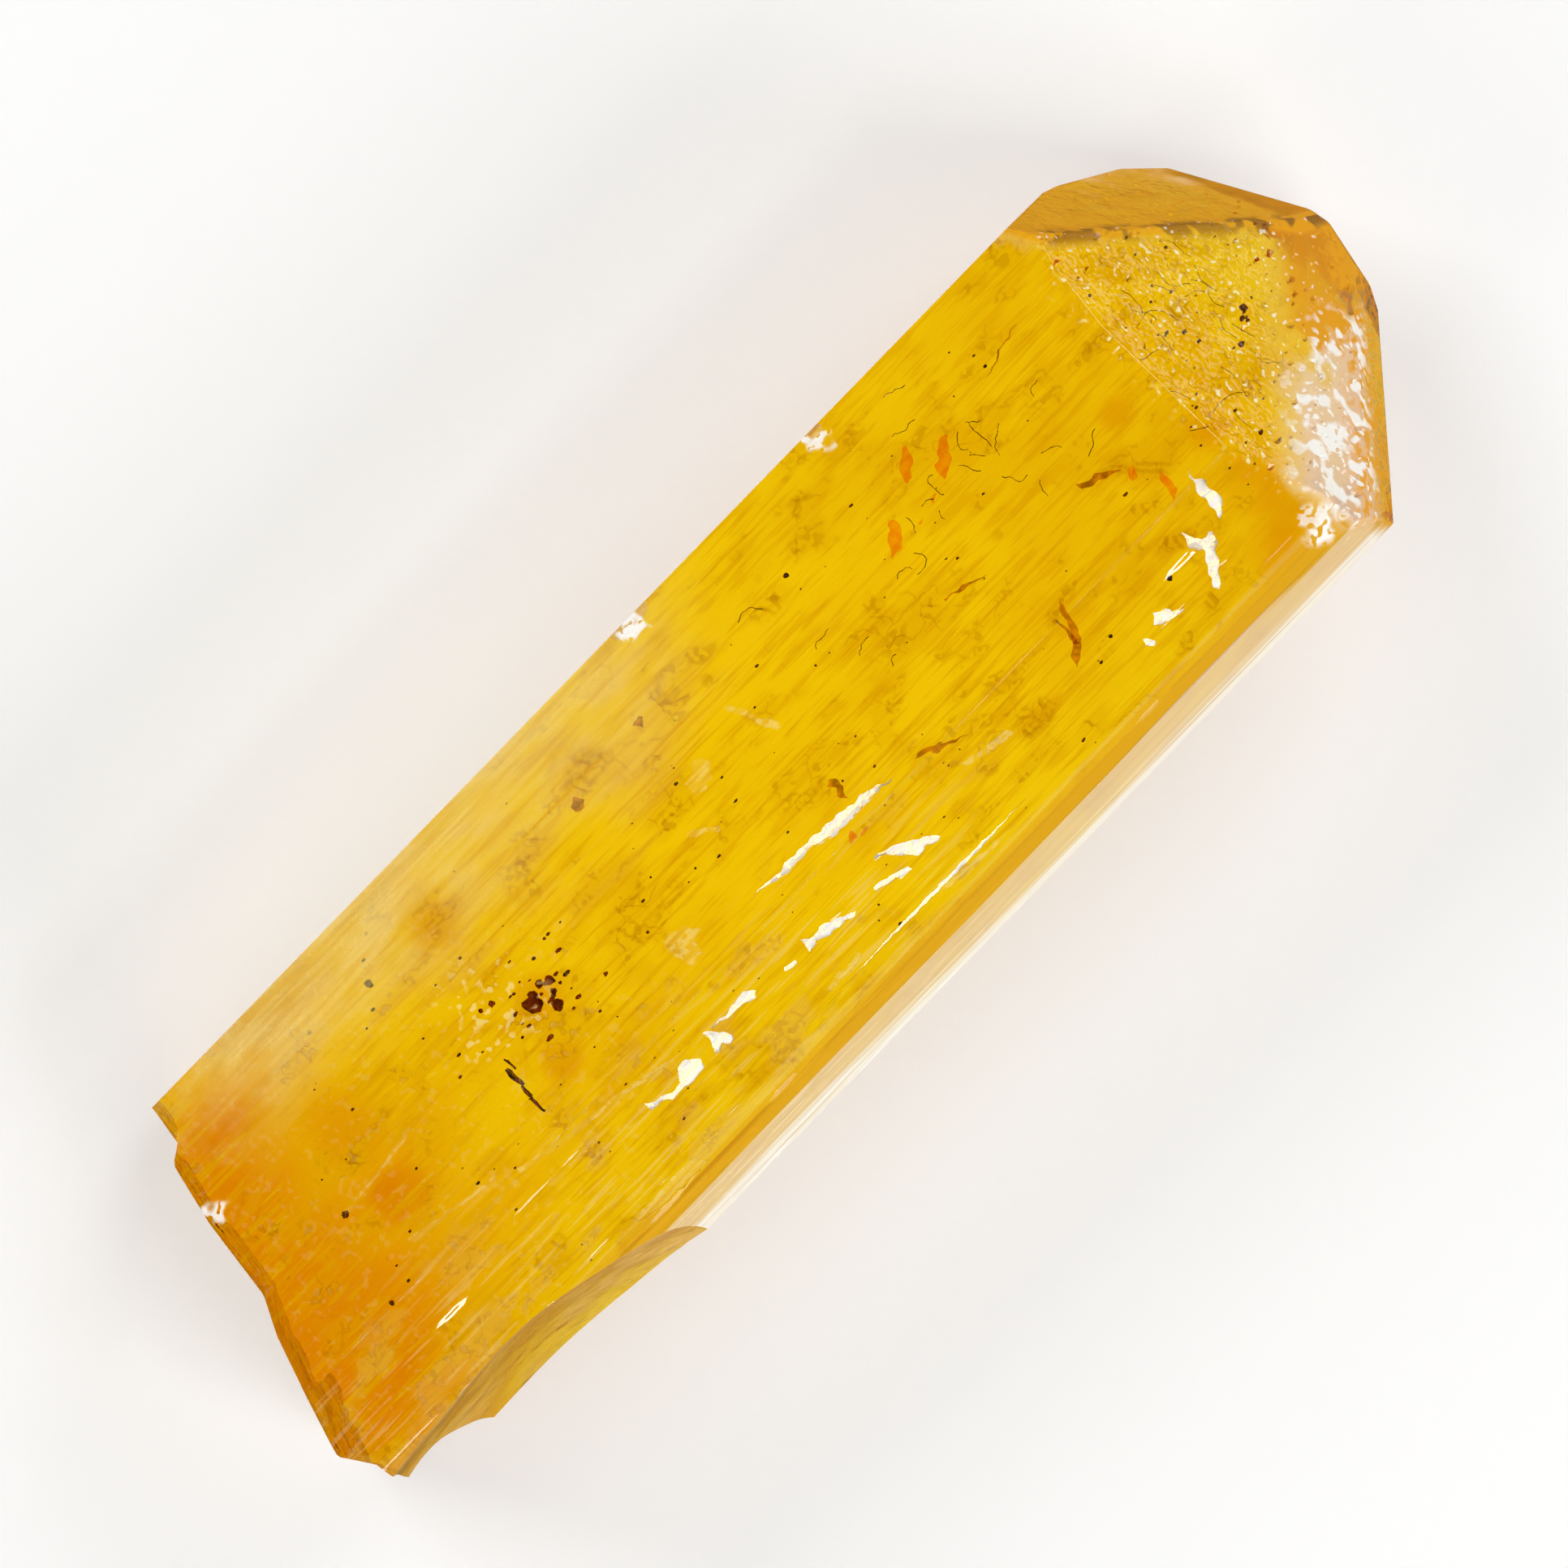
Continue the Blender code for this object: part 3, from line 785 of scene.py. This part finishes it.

# Pale things: a milky zone along the left edge, which is a painted sheen standing for a soft light's
# reflection, veils on the right, crumbs towards the base and painted sparkle on the dome, a painted
# reflection on the steep face along the right edge, strongest at its rim, a frosted band with white
# beads painted as glints, the scars, whose white is partly painted reflection, and painted white glints
# at the edges and nicks.
to_left = (across + (patches - 0.5) * 0.0070 + (streaks - 0.5) * 0.0022).ease(0.0026, 0.0068)
to_base = (along * -1.0 + (patches - 0.5) * 0.008).ease(-0.004, 0.006)
short_of_break = (along + (lumps - 0.5) * 0.003).ease(-0.0200, -0.0160)
left_rim = across.ease(0.0044, 0.0066)
# Milky zone: a painted sheen, pale and rough, standing for a soft light mirrored along the left edge.
milky_sheen_strength = 0.06 + strokes.ease(0.40, 0.65) * 0.10 + blotches.ease(0.4, 0.6) * 0.14 + left_rim * 0.14
milky_sheen = to_left * to_base * short_of_break * (1.0 - is_stained) * milky_sheen_strength
to_right = (across * -1.0).ease(0.0002, 0.0040) * (along * -1.0).ease(-0.006, 0.002)
veils = to_right * (strokes.ease(0.58, 0.66) * 0.16 + blotches.ease(0.55, 0.62) * 0.06)
# Crumbs: pale grains towards the base; on the dome they are painted sparkle.
crumbs_and_sparkle = grit.ease(0.60, 0.67) * lumps.ease(0.42, 0.56)
body_crumbs = crumbs_and_sparkle * (along * -1.0 + (patches - 0.5) * 0.008).ease(0.006, 0.010)
grown = (1.0 - is_chipped) * (1.0 - is_broken)
prism = (1.0 - is_etched) * grown
right = across * -1.0
# Painted reflection: a pale band on the steep face along the right edge, standing for the bright floor it
# would mirror.
steep_reflection = (right + (streaks - 0.5) * 0.0004).ease(0.00604, 0.00618) * up.ease(0.0058, 0.0066) * prism
margin = (right + (streaks - 0.5) * 0.0008).ease(0.00520, 0.00590) * up.ease(0.0080, 0.0088) * prism
margin = margin * (1.0 - steep_reflection)
# The steep face's rim: a whiter painted highlight.
steep_rim_highlight = (right + (streaks - 0.5) * 0.0006).ease(0.00655, 0.00690)
frost = is_frosted * (right + (blotches - 0.5) * 0.004).ease(0.0012, 0.0026)
# Painted glints: white beads and blobs in the frosted band.
bead_glints = (beads * 0.8 + lumps.ease(0.50, 0.64)).ease(0.0, 1.0)
scar_gaps = strokes.ease(0.42, 0.52) * grit.ease(0.38, 0.48)
upper = up.ease(0.0084, 0.0092)
# Painted glints: white spots by the tip's right side, standing for highlights.
painted_glints = bent.near(16.35, -5.45, 0.80) + bent.near(18.4, -4.0, 0.60)
painted_glints = painted_glints * grit.ease(0.30, 0.46) * up.ease(0.0064, 0.0072)
# Painted glints: white spots at the nicks in the upper edges and at the base's corner.
nick_glints = bent.near(-20.15, 3.55, 0.42) + bent.near(0.37, 6.75, 0.55) + bent.near(8.04, 6.55, 0.40)
nick_glints = nick_glints * grit.ease(0.30, 0.42) * upper
# Painted highlight: a pale rosy line along the pyramid face's outer edge.
pyramid_rim_highlight = is_pyramid * (along * 0.676 + across * 0.737 + (blotches - 0.5) * 0.0030).ease(0.0168, 0.0180)
# Painted sparkle: small white glints strewn over the dome.
painted_sparkles = is_dome * grit.ease(0.72, 0.78)
pale = (
    milky_sheen
    + veils
    + body_crumbs * 0.06
    + steep_reflection * (0.44 + streaks * 0.14 + steep_rim_highlight * 0.30)
    + is_dome * crumbs_and_sparkle * 0.22
    + painted_sparkles * 0.6
    + frost * (0.55 + bead_glints * 0.42)
    # The scars: partly painted white, standing for light mirrored from their floors.
    + is_scarred * (0.12 + scar_gaps * 0.80)
    + is_healed * (0.06 + scar_gaps * 0.24)
    + pyramid_rim_highlight * 0.40
    + painted_glints * 0.6
    + nick_glints * 0.8
    + place.near(-10.4, 1.9, 2.0) * crumbs_and_sparkle * upper * 0.4
)

# Rough parts glow in warmer colours: the break, the pyramid face, the apex and the sliver orange, the
# chips honey-coloured, more thickly higher up, with a sandy painted highlight along their outer rim
# and towards their top, which lightens the shade there, and the margin beside the steep face amber.
apex = is_frosted * (across + (blotches - 0.5) * 0.004).ease(-0.0022, -0.0008)
break_glow = is_broken * (0.20 + patches.ease(0.35, 0.65) * 0.16)
sliver_glow = is_sliver * (0.2 + streaks.ease(0.35, 0.6) * 0.4)
orange = break_glow + is_pyramid * (0.52 + lumps * 0.3) + apex * 0.72 + sliver_glow
honey = is_chipped * (0.50 + blotches.ease(0.35, 0.65) * 0.30) * (0.3 + up.ease(0.0050, 0.0072) * 0.7)
outer_rim = (right + (blotches - 0.5) * 0.002).ease(0.0054, 0.0068)
# Painted highlight: paler sand along the chips' outer rim and towards their top, against their shade.
chip_rim_highlight = is_chipped * (outer_rim + up.ease(0.0072, 0.0096) * 0.7)
amber = margin * 0.92
bloom = pale + orange + honey + amber

# Deeper colour: orange towards the base and in the tip, ochre strokes and clouds, and thin brown hairs.
base_end = (along * -1.0 + (patches - 0.5) * 0.008 - across * across * 60.0).ease(0.012, 0.0210)
tip_end = (along + (patches - 0.5) * 0.010 - across * 0.5).ease(0.012, 0.022)
stains = patches.ease(0.56, 0.72)
orange_marks = (is_stained + (blotches - 0.5) * 0.8).ease(0.15, 0.75) * 0.55
stain = base_end * (1.10 - left_rim * 0.5) + tip_end * 0.30 + stains * 0.20 + orange_marks + is_sliver * 0.8
stained = stain.blend(CLEAR_TINT, STAINED_TINT)
ochre = strokes.ease(0.48, 0.34) * blotches.ease(0.38, 0.54) * 0.90 + blotches.ease(0.50, 0.66) * 0.60
lines = streaks.ease(0.42, 0.30) * patches.ease(0.44, 0.56) * 0.7
deeper = along.ease(0.004, 0.013) * 0.22 + (along * -1.0).ease(0.003, 0.012) * 0.16
clouded = (ochre + lines + deeper + patches.ease(0.5, 0.4) * 0.25).blend(stained, OCHRE_TINT)
moss = blotches.ease(0.54, 0.62) * lumps.ease(0.50, 0.60) * grit.ease(0.46, 0.54) * 0.55
seam = is_pyramid * is_dome * lumps.ease(0.56, 0.44)
hairy = blotches.ease(0.60, 0.66) * 0.45 + is_dome * lumps.ease(0.46, 0.56) * 0.42
dark_lines = is_sliver * streaks.ease(0.48, 0.40) * 0.6
colour = (hairs * hairy + moss * grown + seam + dark_lines).blend(clouded, HAIR_TINT)

fracture = (is_broken + is_chipped) * (lumps * 0.05 + blotches * 0.20)
height = streaks * 0.0022 + is_etched * grit * 0.012 + fracture
surface = shade.node("ShaderNodeBump", {}, {"Height": height, "Distance": MM, "Strength": 1.0})
roughness = 0.02 + is_frosted * 0.25 + is_broken * 0.12 + is_chipped * 0.20 + milky_sheen * 0.6

clear = tree.nodes["Principled BSDF"]
clear.inputs["IOR"].default_value = TOPAZ_IOR
clear.inputs["Transmission Weight"].default_value = 1.0
tree.links.new(colour.socket, clear.inputs["Base Color"])
tree.links.new(roughness.socket, clear.inputs["Roughness"])
tree.links.new(surface.socket, clear.inputs["Normal"])
# Painted highlights in white: the steep face's rim, the scars, the frost's beads, the glints, nicks and
# sparkles.
painted_whites = steep_rim_highlight * steep_reflection + is_scarred + frost * bead_glints * 0.8 + painted_glints + nick_glints + painted_sparkles * 0.5
# On the dome the pale layer is lemon, the colour of its painted sparkle.
creamy = is_dome.blend(CREAM_BLOOM, LEMON_SPARKLE)
# Rosy: the frosted band, the painted reflection on the steep face and the painted highlight on the
# pyramid's rim.
rosy = (frost + steep_reflection * 0.7 + pyramid_rim_highlight * 0.6).blend(creamy, ROSY_FROST_AND_SHEEN)
warm = (orange * 1.6 - pyramid_rim_highlight * 0.4).blend(rosy, ORANGE_BLOOM)
chipped = (chip_rim_highlight * 0.6).blend(is_chipped.blend(warm, HONEY_BLOOM), SAND_HIGHLIGHT)
deep = (seam * 1.4).blend((margin * 2.0).blend(chipped, AMBER_BLOOM), BROWN_BLOOM)
bloom_colour = painted_whites.ease(0.0, 0.9).blend(deep, WHITE_HIGHLIGHT)
bloomed = shade.node(
    "ShaderNodeBsdfPrincipled",
    {},
    {"Base Color": bloom_colour, "Roughness": 0.45, "IOR": BLOOM_IOR, "Normal": surface},
)
mixed = shade.node("ShaderNodeMixShader", {}, {0: bloom, 1: Shade(tree, clear.outputs[0]), 2: bloomed})
tree.links.new(mixed.socket, tree.nodes["Material Output"].inputs["Surface"])
absorbed = {"Color": ABSORPTION_COLOUR, "Density": ABSORPTION_DENSITY}
inside = shade.node("ShaderNodeVolumeAbsorption", {}, absorbed)
tree.links.new(inside.socket, tree.nodes["Material Output"].inputs["Volume"])
crystal.data.materials.append(topaz)

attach(crystal, "root")
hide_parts("topaz_crystal")

# --------------------------------------------------------------------------------------------------
# Iron oxide: a cluster of dark red-brown grains in a healed crack near the base, with loose ones round
# it. Each grain is a ball knocked out of round and set just under the top face, and all are joined into
# one mesh.
LARGE_GRAINS = (
    (-9.48, 1.17, 0.28),
    (-9.30, 1.36, 0.15),
    (-8.98, 0.66, 0.17),
    (-8.64, 1.32, 0.15),
    (-8.92, 1.48, 0.12),
    (-8.78, 1.02, 0.09),
    (-10.30, 2.05, 0.10),
)
LARGE_GRAIN_HEIGHT = 4.55
LOOSE_GRAINS = 30
LOOSE_GRAIN_MIDDLE = (-9.1, 1.3)
LOOSE_GRAIN_SPREAD = (0.75, 0.60)


def grain(middle, radius, stretch):
    """A ball knocked out of round, with its middle in millimetres from the axis middle."""
    deselect_everything()
    bpy.ops.mesh.primitive_ico_sphere_add(subdivisions=2, radius=1.0)
    ball = bpy.context.object
    for vertex in ball.data.vertices:
        swell = radius * (1.0 + 0.55 * noise.noise(vertex.co * 1.3 + Vector(middle) * 5.0))
        vertex.co = Vector(vertex.co[axis] * swell * stretch[axis] + middle[axis] for axis in range(3)) * MM
    return ball


def join_as(parts, name, material):
    """Joins the parts into one piece, moves it to where the crystal lies and gives it to the crystal."""
    deselect_everything()
    for part in parts:
        part.select_set(True)
    bpy.context.view_layer.objects.active = parts[0]
    bpy.ops.object.join()
    piece = bpy.context.object
    piece.name = name
    piece.data.transform(Matrix.Translation(AXIS_PLACE))
    piece.data.materials.clear()
    piece.data.materials.append(material)
    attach(piece, "root")
    return piece


def mottled(name, dark, light, roughness, transmission, ior):
    """A material whose colour wanders between two, over grains a few tenths of a millimetre in size."""
    material = bpy.data.materials.new(name)
    material.use_nodes = True
    shade = Shade(material.node_tree)
    finish = material.node_tree.nodes["Principled BSDF"]
    finish.inputs["Transmission Weight"].default_value = transmission
    finish.inputs["IOR"].default_value = ior
    place = shade.node("ShaderNodeTexCoord", {}, {}, output="Object")
    spots = shade.cloud(place, (3200.0, 3200.0, 3200.0), detail=2.0)
    colour = spots.ease(0.36, 0.64).blend(dark, light)
    material.node_tree.links.new(colour.socket, finish.inputs["Base Color"])
    material.node_tree.links.new((roughness + spots * 0.2).socket, finish.inputs["Roughness"])
    return material


draw = random.Random(21)
grains = [grain((x, y, LARGE_GRAIN_HEIGHT), radius, (1.0, 1.0, 0.8)) for x, y, radius in LARGE_GRAINS]
for _ in range(LOOSE_GRAINS):
    x = draw.gauss(LOOSE_GRAIN_MIDDLE[0], LOOSE_GRAIN_SPREAD[0])
    y = draw.gauss(LOOSE_GRAIN_MIDDLE[1], LOOSE_GRAIN_SPREAD[1])
    radius = draw.uniform(0.025, 0.070)
    grains.append(grain((x, y, draw.uniform(3.8, 4.9)), radius, (draw.uniform(1.0, 2.2), 1.0, 1.0)))
join_as(
    grains,
    "iron_grains",
    mottled("iron_oxide", (0.080, 0.010, 0.004, 1.0), (0.380, 0.060, 0.012, 1.0), 0.35, 0.0, 1.5),
)

# --------------------------------------------------------------------------------------------------
# Cleavage cracks: thin dark films across the crystal, so that from above each is seen edge-on as a
# short line. Each is an outline across the crystal and up it, in millimetres, given a thickness along
# the axis.
CRACKS = (
    (-11.42, 0.100, ((0.40, 5.05), (0.36, 4.60), (0.12, 4.20), (-0.12, 4.55), (-0.24, 5.02), (0.05, 5.12))),
    (-11.44, 0.045, ((-0.24, 5.00), (-0.28, 4.60), (-0.62, 4.50), (-0.62, 5.02))),
    (-11.50, 0.070, ((-0.60, 5.04), (-0.70, 4.40), (-1.02, 4.50), (-1.26, 4.95), (-0.95, 5.10))),
    (-11.18, 0.050, ((0.66, 5.04), (0.55, 4.70), (0.25, 4.80), (0.30, 5.05))),
)


def plate(outline, place_at, thickness):
    """A closed thin solid over an outline. place_at turns two numbers and a rise into a place."""
    builder = bmesh.new()
    rings = []
    for rise in (0.0, thickness):
        rings.append([builder.verts.new(place_at(a, b, rise) * MM) for a, b in outline])
    for ring in rings:
        builder.faces.new(ring)
    for index in range(len(outline)):
        after = (index + 1) % len(outline)
        builder.faces.new((rings[0][index], rings[0][after], rings[1][after], rings[1][index]))
    return solid_from(builder, "plate")


def standing_at(x):
    """Places on a wavy film that stands across the crystal at x."""
    return lambda a, b, rise: Vector((x + rise + 0.10 * noise.noise(Vector((a, b, x)) * 3.0), a, b))


cracks = []
for x, thickness, outline in CRACKS:
    cracks.append(plate(ragged(outline, 0.10, 0.10), standing_at(x), thickness))
join_as(
    cracks,
    "cleavage_cracks",
    mottled("crack_film", (0.035, 0.008, 0.003, 1.0), (0.260, 0.050, 0.010, 1.0), 0.40, 0.0, 1.5),
)

# --------------------------------------------------------------------------------------------------
# Orange flakes: iron-stained films in healed cracks, see-through and bright orange, lying near the top
# face. Each is a leaf-shaped outline in plan, given by its middle, length, width and turn, with a
# ragged edge.
FLAKES = (
    (10.14, 3.68, 1.40, 0.42, 222.0),
    (9.23, 4.28, 1.00, 0.38, 225.0),
    (7.46, 3.05, 1.10, 0.36, 226.0),
    (8.41, 2.92, 0.26, 0.15, 200.0),
    (9.08, 3.08, 0.32, 0.16, 230.0),
    (0.44, -2.02, 0.34, 0.22, 190.0),
    (0.80, -2.14, 0.26, 0.16, 160.0),
    (14.10, -1.55, 0.90, 0.26, 250.0),
    (13.60, -0.55, 0.60, 0.20, 215.0),
)
LEAF_POINTS = 18
FLAKE_HEIGHT = 4.75
FLAKE_THICKNESS = 0.05


def leaf(x, y, length, width, turn):
    """The outline of a leaf: widest in the middle and tapering to both ends."""
    points = []
    for index in range(LEAF_POINTS):
        angle = 2 * math.pi * index / LEAF_POINTS
        along_leaf = math.cos(angle) * length / 2
        across_leaf = math.sin(angle) * abs(math.sin(angle)) ** 0.4 * width / 2
        turned = Matrix.Rotation(math.radians(turn), 2) @ Vector((along_leaf, across_leaf))
        points.append((x + turned.x, y + turned.y))
    return ragged(points, 0.08, 0.14)


def flat_at(height):
    """Places on a flat film that lies at a height."""
    return lambda a, b, rise: Vector((a, b, height + rise))


join_as(
    [plate(leaf(*flake), flat_at(FLAKE_HEIGHT), FLAKE_THICKNESS) for flake in FLAKES],
    "orange_flakes",
    mottled("orange_stain", (0.98, 0.46, 0.30, 1.0), (1.0, 0.62, 0.40, 1.0), 0.05, 1.0, 1.05),
)

# --------------------------------------------------------------------------------------------------
# Brown films: thin see-through stains in cracks under the top face, some long and some curled.
# Each is a flat outline in plan, in millimetres, with a ragged edge, and each lies a little deeper
# than the one before.
FILMS = (
    ((3.25, -1.77), (3.70, -1.80), (4.20, -1.98), (4.91, -2.29), (4.25, -2.14), (3.70, -1.98)),
    ((14.43, 4.92), (13.90, 4.80), (13.20, 4.55), (12.57, 4.38), (13.20, 4.49), (13.90, 4.74)),
    ((9.62, -1.50), (9.40, -1.72), (9.22, -2.00), (9.10, -2.35), (8.86, -2.66), (8.62, -2.92),
     (8.46, -3.28), (8.78, -3.10), (9.00, -2.96), (9.22, -2.72), (9.34, -2.44), (9.34, -2.08),
     (9.50, -1.78)),
    ((8.98, -1.92), (8.98, -2.30), (8.86, -2.66), (9.00, -2.96), (9.10, -2.60), (9.06, -2.20)),
    ((-4.60, 4.36), (-4.30, 4.48), (-4.18, 4.26), (-4.34, 4.04), (-4.62, 4.10)),
    ((-1.70, 4.70), (-1.44, 4.84), (-1.28, 4.62), (-1.50, 4.44)),
    ((0.95, -0.52), (1.18, -0.40), (1.34, -0.62), (1.26, -0.96), (1.10, -1.20), (0.98, -0.96),
     (1.14, -0.72)),
    ((12.30, 0.35), (12.90, 0.15), (13.50, -0.20), (12.95, -0.08), (12.35, 0.16)),
    ((7.20, 0.86), (7.90, 0.70), (8.60, 0.42), (7.90, 0.60), (7.22, 0.78)),
)
FILM_HEIGHT = 4.60
FILM_SPACING = 0.02
FILM_THICKNESS = 0.04

films = []
for index, film in enumerate(FILMS):
    height_at = flat_at(FILM_HEIGHT - FILM_SPACING * index)
    films.append(plate(ragged(film, 0.09, 0.12), height_at, FILM_THICKNESS))
join_as(
    films,
    "brown_films",
    mottled("brown_stain", (0.42, 0.26, 0.20, 1.0), (0.80, 0.48, 0.30, 1.0), 0.05, 1.0, 1.05),
)

# --------------------------------------------------------------------------------------------------
# Specks and threads: dark grains strewn under the top face and more thickly in the tip, with short
# curled threads. The specks are small balls, the threads fine tubes along wandering lines, and all are
# joined into one mesh.
NAMED_SPECKS = (
    (-17.61, 0.83, 0.11),
    (-18.50, -1.91, 0.08),
    (-12.35, 4.97, 0.12),
    (4.51, 4.56, 0.08),
    (12.20, -3.40, 0.09),
    (9.80, -3.35, 0.06),
)
TIP_SPECKS = (
    (19.31, 0.51, 0.13),
    (19.05, 0.30, 0.09),
    (17.57, 1.22, 0.09),
    (18.48, -0.20, 0.11),
    (19.47, -2.46, 0.09),
    (17.02, -2.38, 0.09),
    (17.89, 2.82, 0.06),
    (16.39, 3.92, 0.06),
    (18.99, 3.32, 0.06),
)
NAMED_SPECK_DEPTH = 0.25
TIP_SPECK_DEPTH = 0.22
STREWN_SPECKS = 120
STREWN_DEPTHS = (0.15, 1.5)
STREWN_TIP_SPECKS = 34
STREWN_TIP_DEPTH = 0.15
BODY_THREADS = 26
TIP_THREADS = 22
THREAD_STEP = 0.11
THREAD_RADIUS = 0.011
BODY_THREAD_HEIGHT = 4.70
TIP_THREAD_DEPTH = 0.12


def under_tip(x, y, depth):
    """How high a place is that lies under the main dome face, in millimetres."""
    normal, far, _ = faces[face_names.index("main dome")]
    return min((far / MM - normal.x * x) / normal.z, surface_height(y * MM) / MM) - depth


def thread(x, y, height_at, heading, steps, turning):
    """A fine tube along a line that wanders as it goes from x, y in plan, in millimetres."""
    spots = [Vector((x, y, 0.0))]
    for _ in range(steps):
        heading += turning * draw.uniform(-1.0, 1.0)
        shift = Vector((math.cos(heading), math.sin(heading), 0.0)) * THREAD_STEP
        spots.append(spots[-1] + shift)
    curve = bpy.data.curves.new("thread", "CURVE")
    curve.dimensions = "3D"
    curve.bevel_depth = THREAD_RADIUS * MM
    curve.bevel_resolution = 0
    curve.use_fill_caps = True
    line = curve.splines.new("POLY")
    line.points.add(len(spots) - 1)
    for point, spot in zip(line.points, spots):
        point.co = (spot.x * MM, spot.y * MM, height_at(spot.x, spot.y) * MM, 1.0)
        point.radius = draw.uniform(0.6, 1.3)
    holder = bpy.data.objects.new("thread", curve)
    bpy.context.collection.objects.link(holder)
    make_active(holder)
    bpy.ops.object.convert(target="MESH")
    return bpy.context.object


specks = []
for x, y, radius in NAMED_SPECKS:
    specks.append(grain((x, y, surface_height(y * MM) / MM - NAMED_SPECK_DEPTH), radius, (1.0, 1.0, 1.0)))
for x, y, radius in TIP_SPECKS:
    specks.append(grain((x, y, under_tip(x, y, TIP_SPECK_DEPTH)), radius, (1.2, 0.8, 0.8)))
for _ in range(STREWN_SPECKS):
    x, y = draw.uniform(-18.0, 14.0), draw.uniform(-5.2, 6.0)
    height = surface_height(y * MM) / MM - draw.uniform(*STREWN_DEPTHS)
    radius = 0.016 + 0.034 * draw.random() ** 2
    specks.append(grain((x, y, height), radius, (draw.uniform(1.0, 2.0), 1.0, 1.0)))
for _ in range(STREWN_TIP_SPECKS):
    x, y = draw.uniform(15.5, 19.8), draw.uniform(-3.8, 4.4)
    radius = draw.uniform(0.020, 0.050)
    stretch = (draw.uniform(1.0, 2.4), 1.0, 0.8)
    specks.append(grain((x, y, under_tip(x, y, STREWN_TIP_DEPTH)), radius, stretch))
for _ in range(BODY_THREADS):
    x, y = draw.gauss(9.5, 3.2), draw.gauss(3.4, 1.9)
    if x < 14.0 and -4.0 < y < 6.0:
        heading, steps = draw.uniform(0.0, 2 * math.pi), draw.randint(3, 9)
        specks.append(thread(x, y, lambda x, y: BODY_THREAD_HEIGHT, heading, steps, 0.8))
for _ in range(TIP_THREADS):
    x, y = draw.uniform(15.8, 19.4), draw.uniform(-2.5, 3.0)
    heading, steps = draw.gauss(1.9, 0.5), draw.randint(4, 11)
    specks.append(thread(x, y, lambda x, y: under_tip(x, y, TIP_THREAD_DEPTH), heading, steps, 0.45))
join_as(
    specks,
    "dark_specks",
    mottled("dark_mineral", (0.035, 0.012, 0.004, 1.0), (0.240, 0.075, 0.015, 1.0), 0.45, 0.0, 1.5),
)
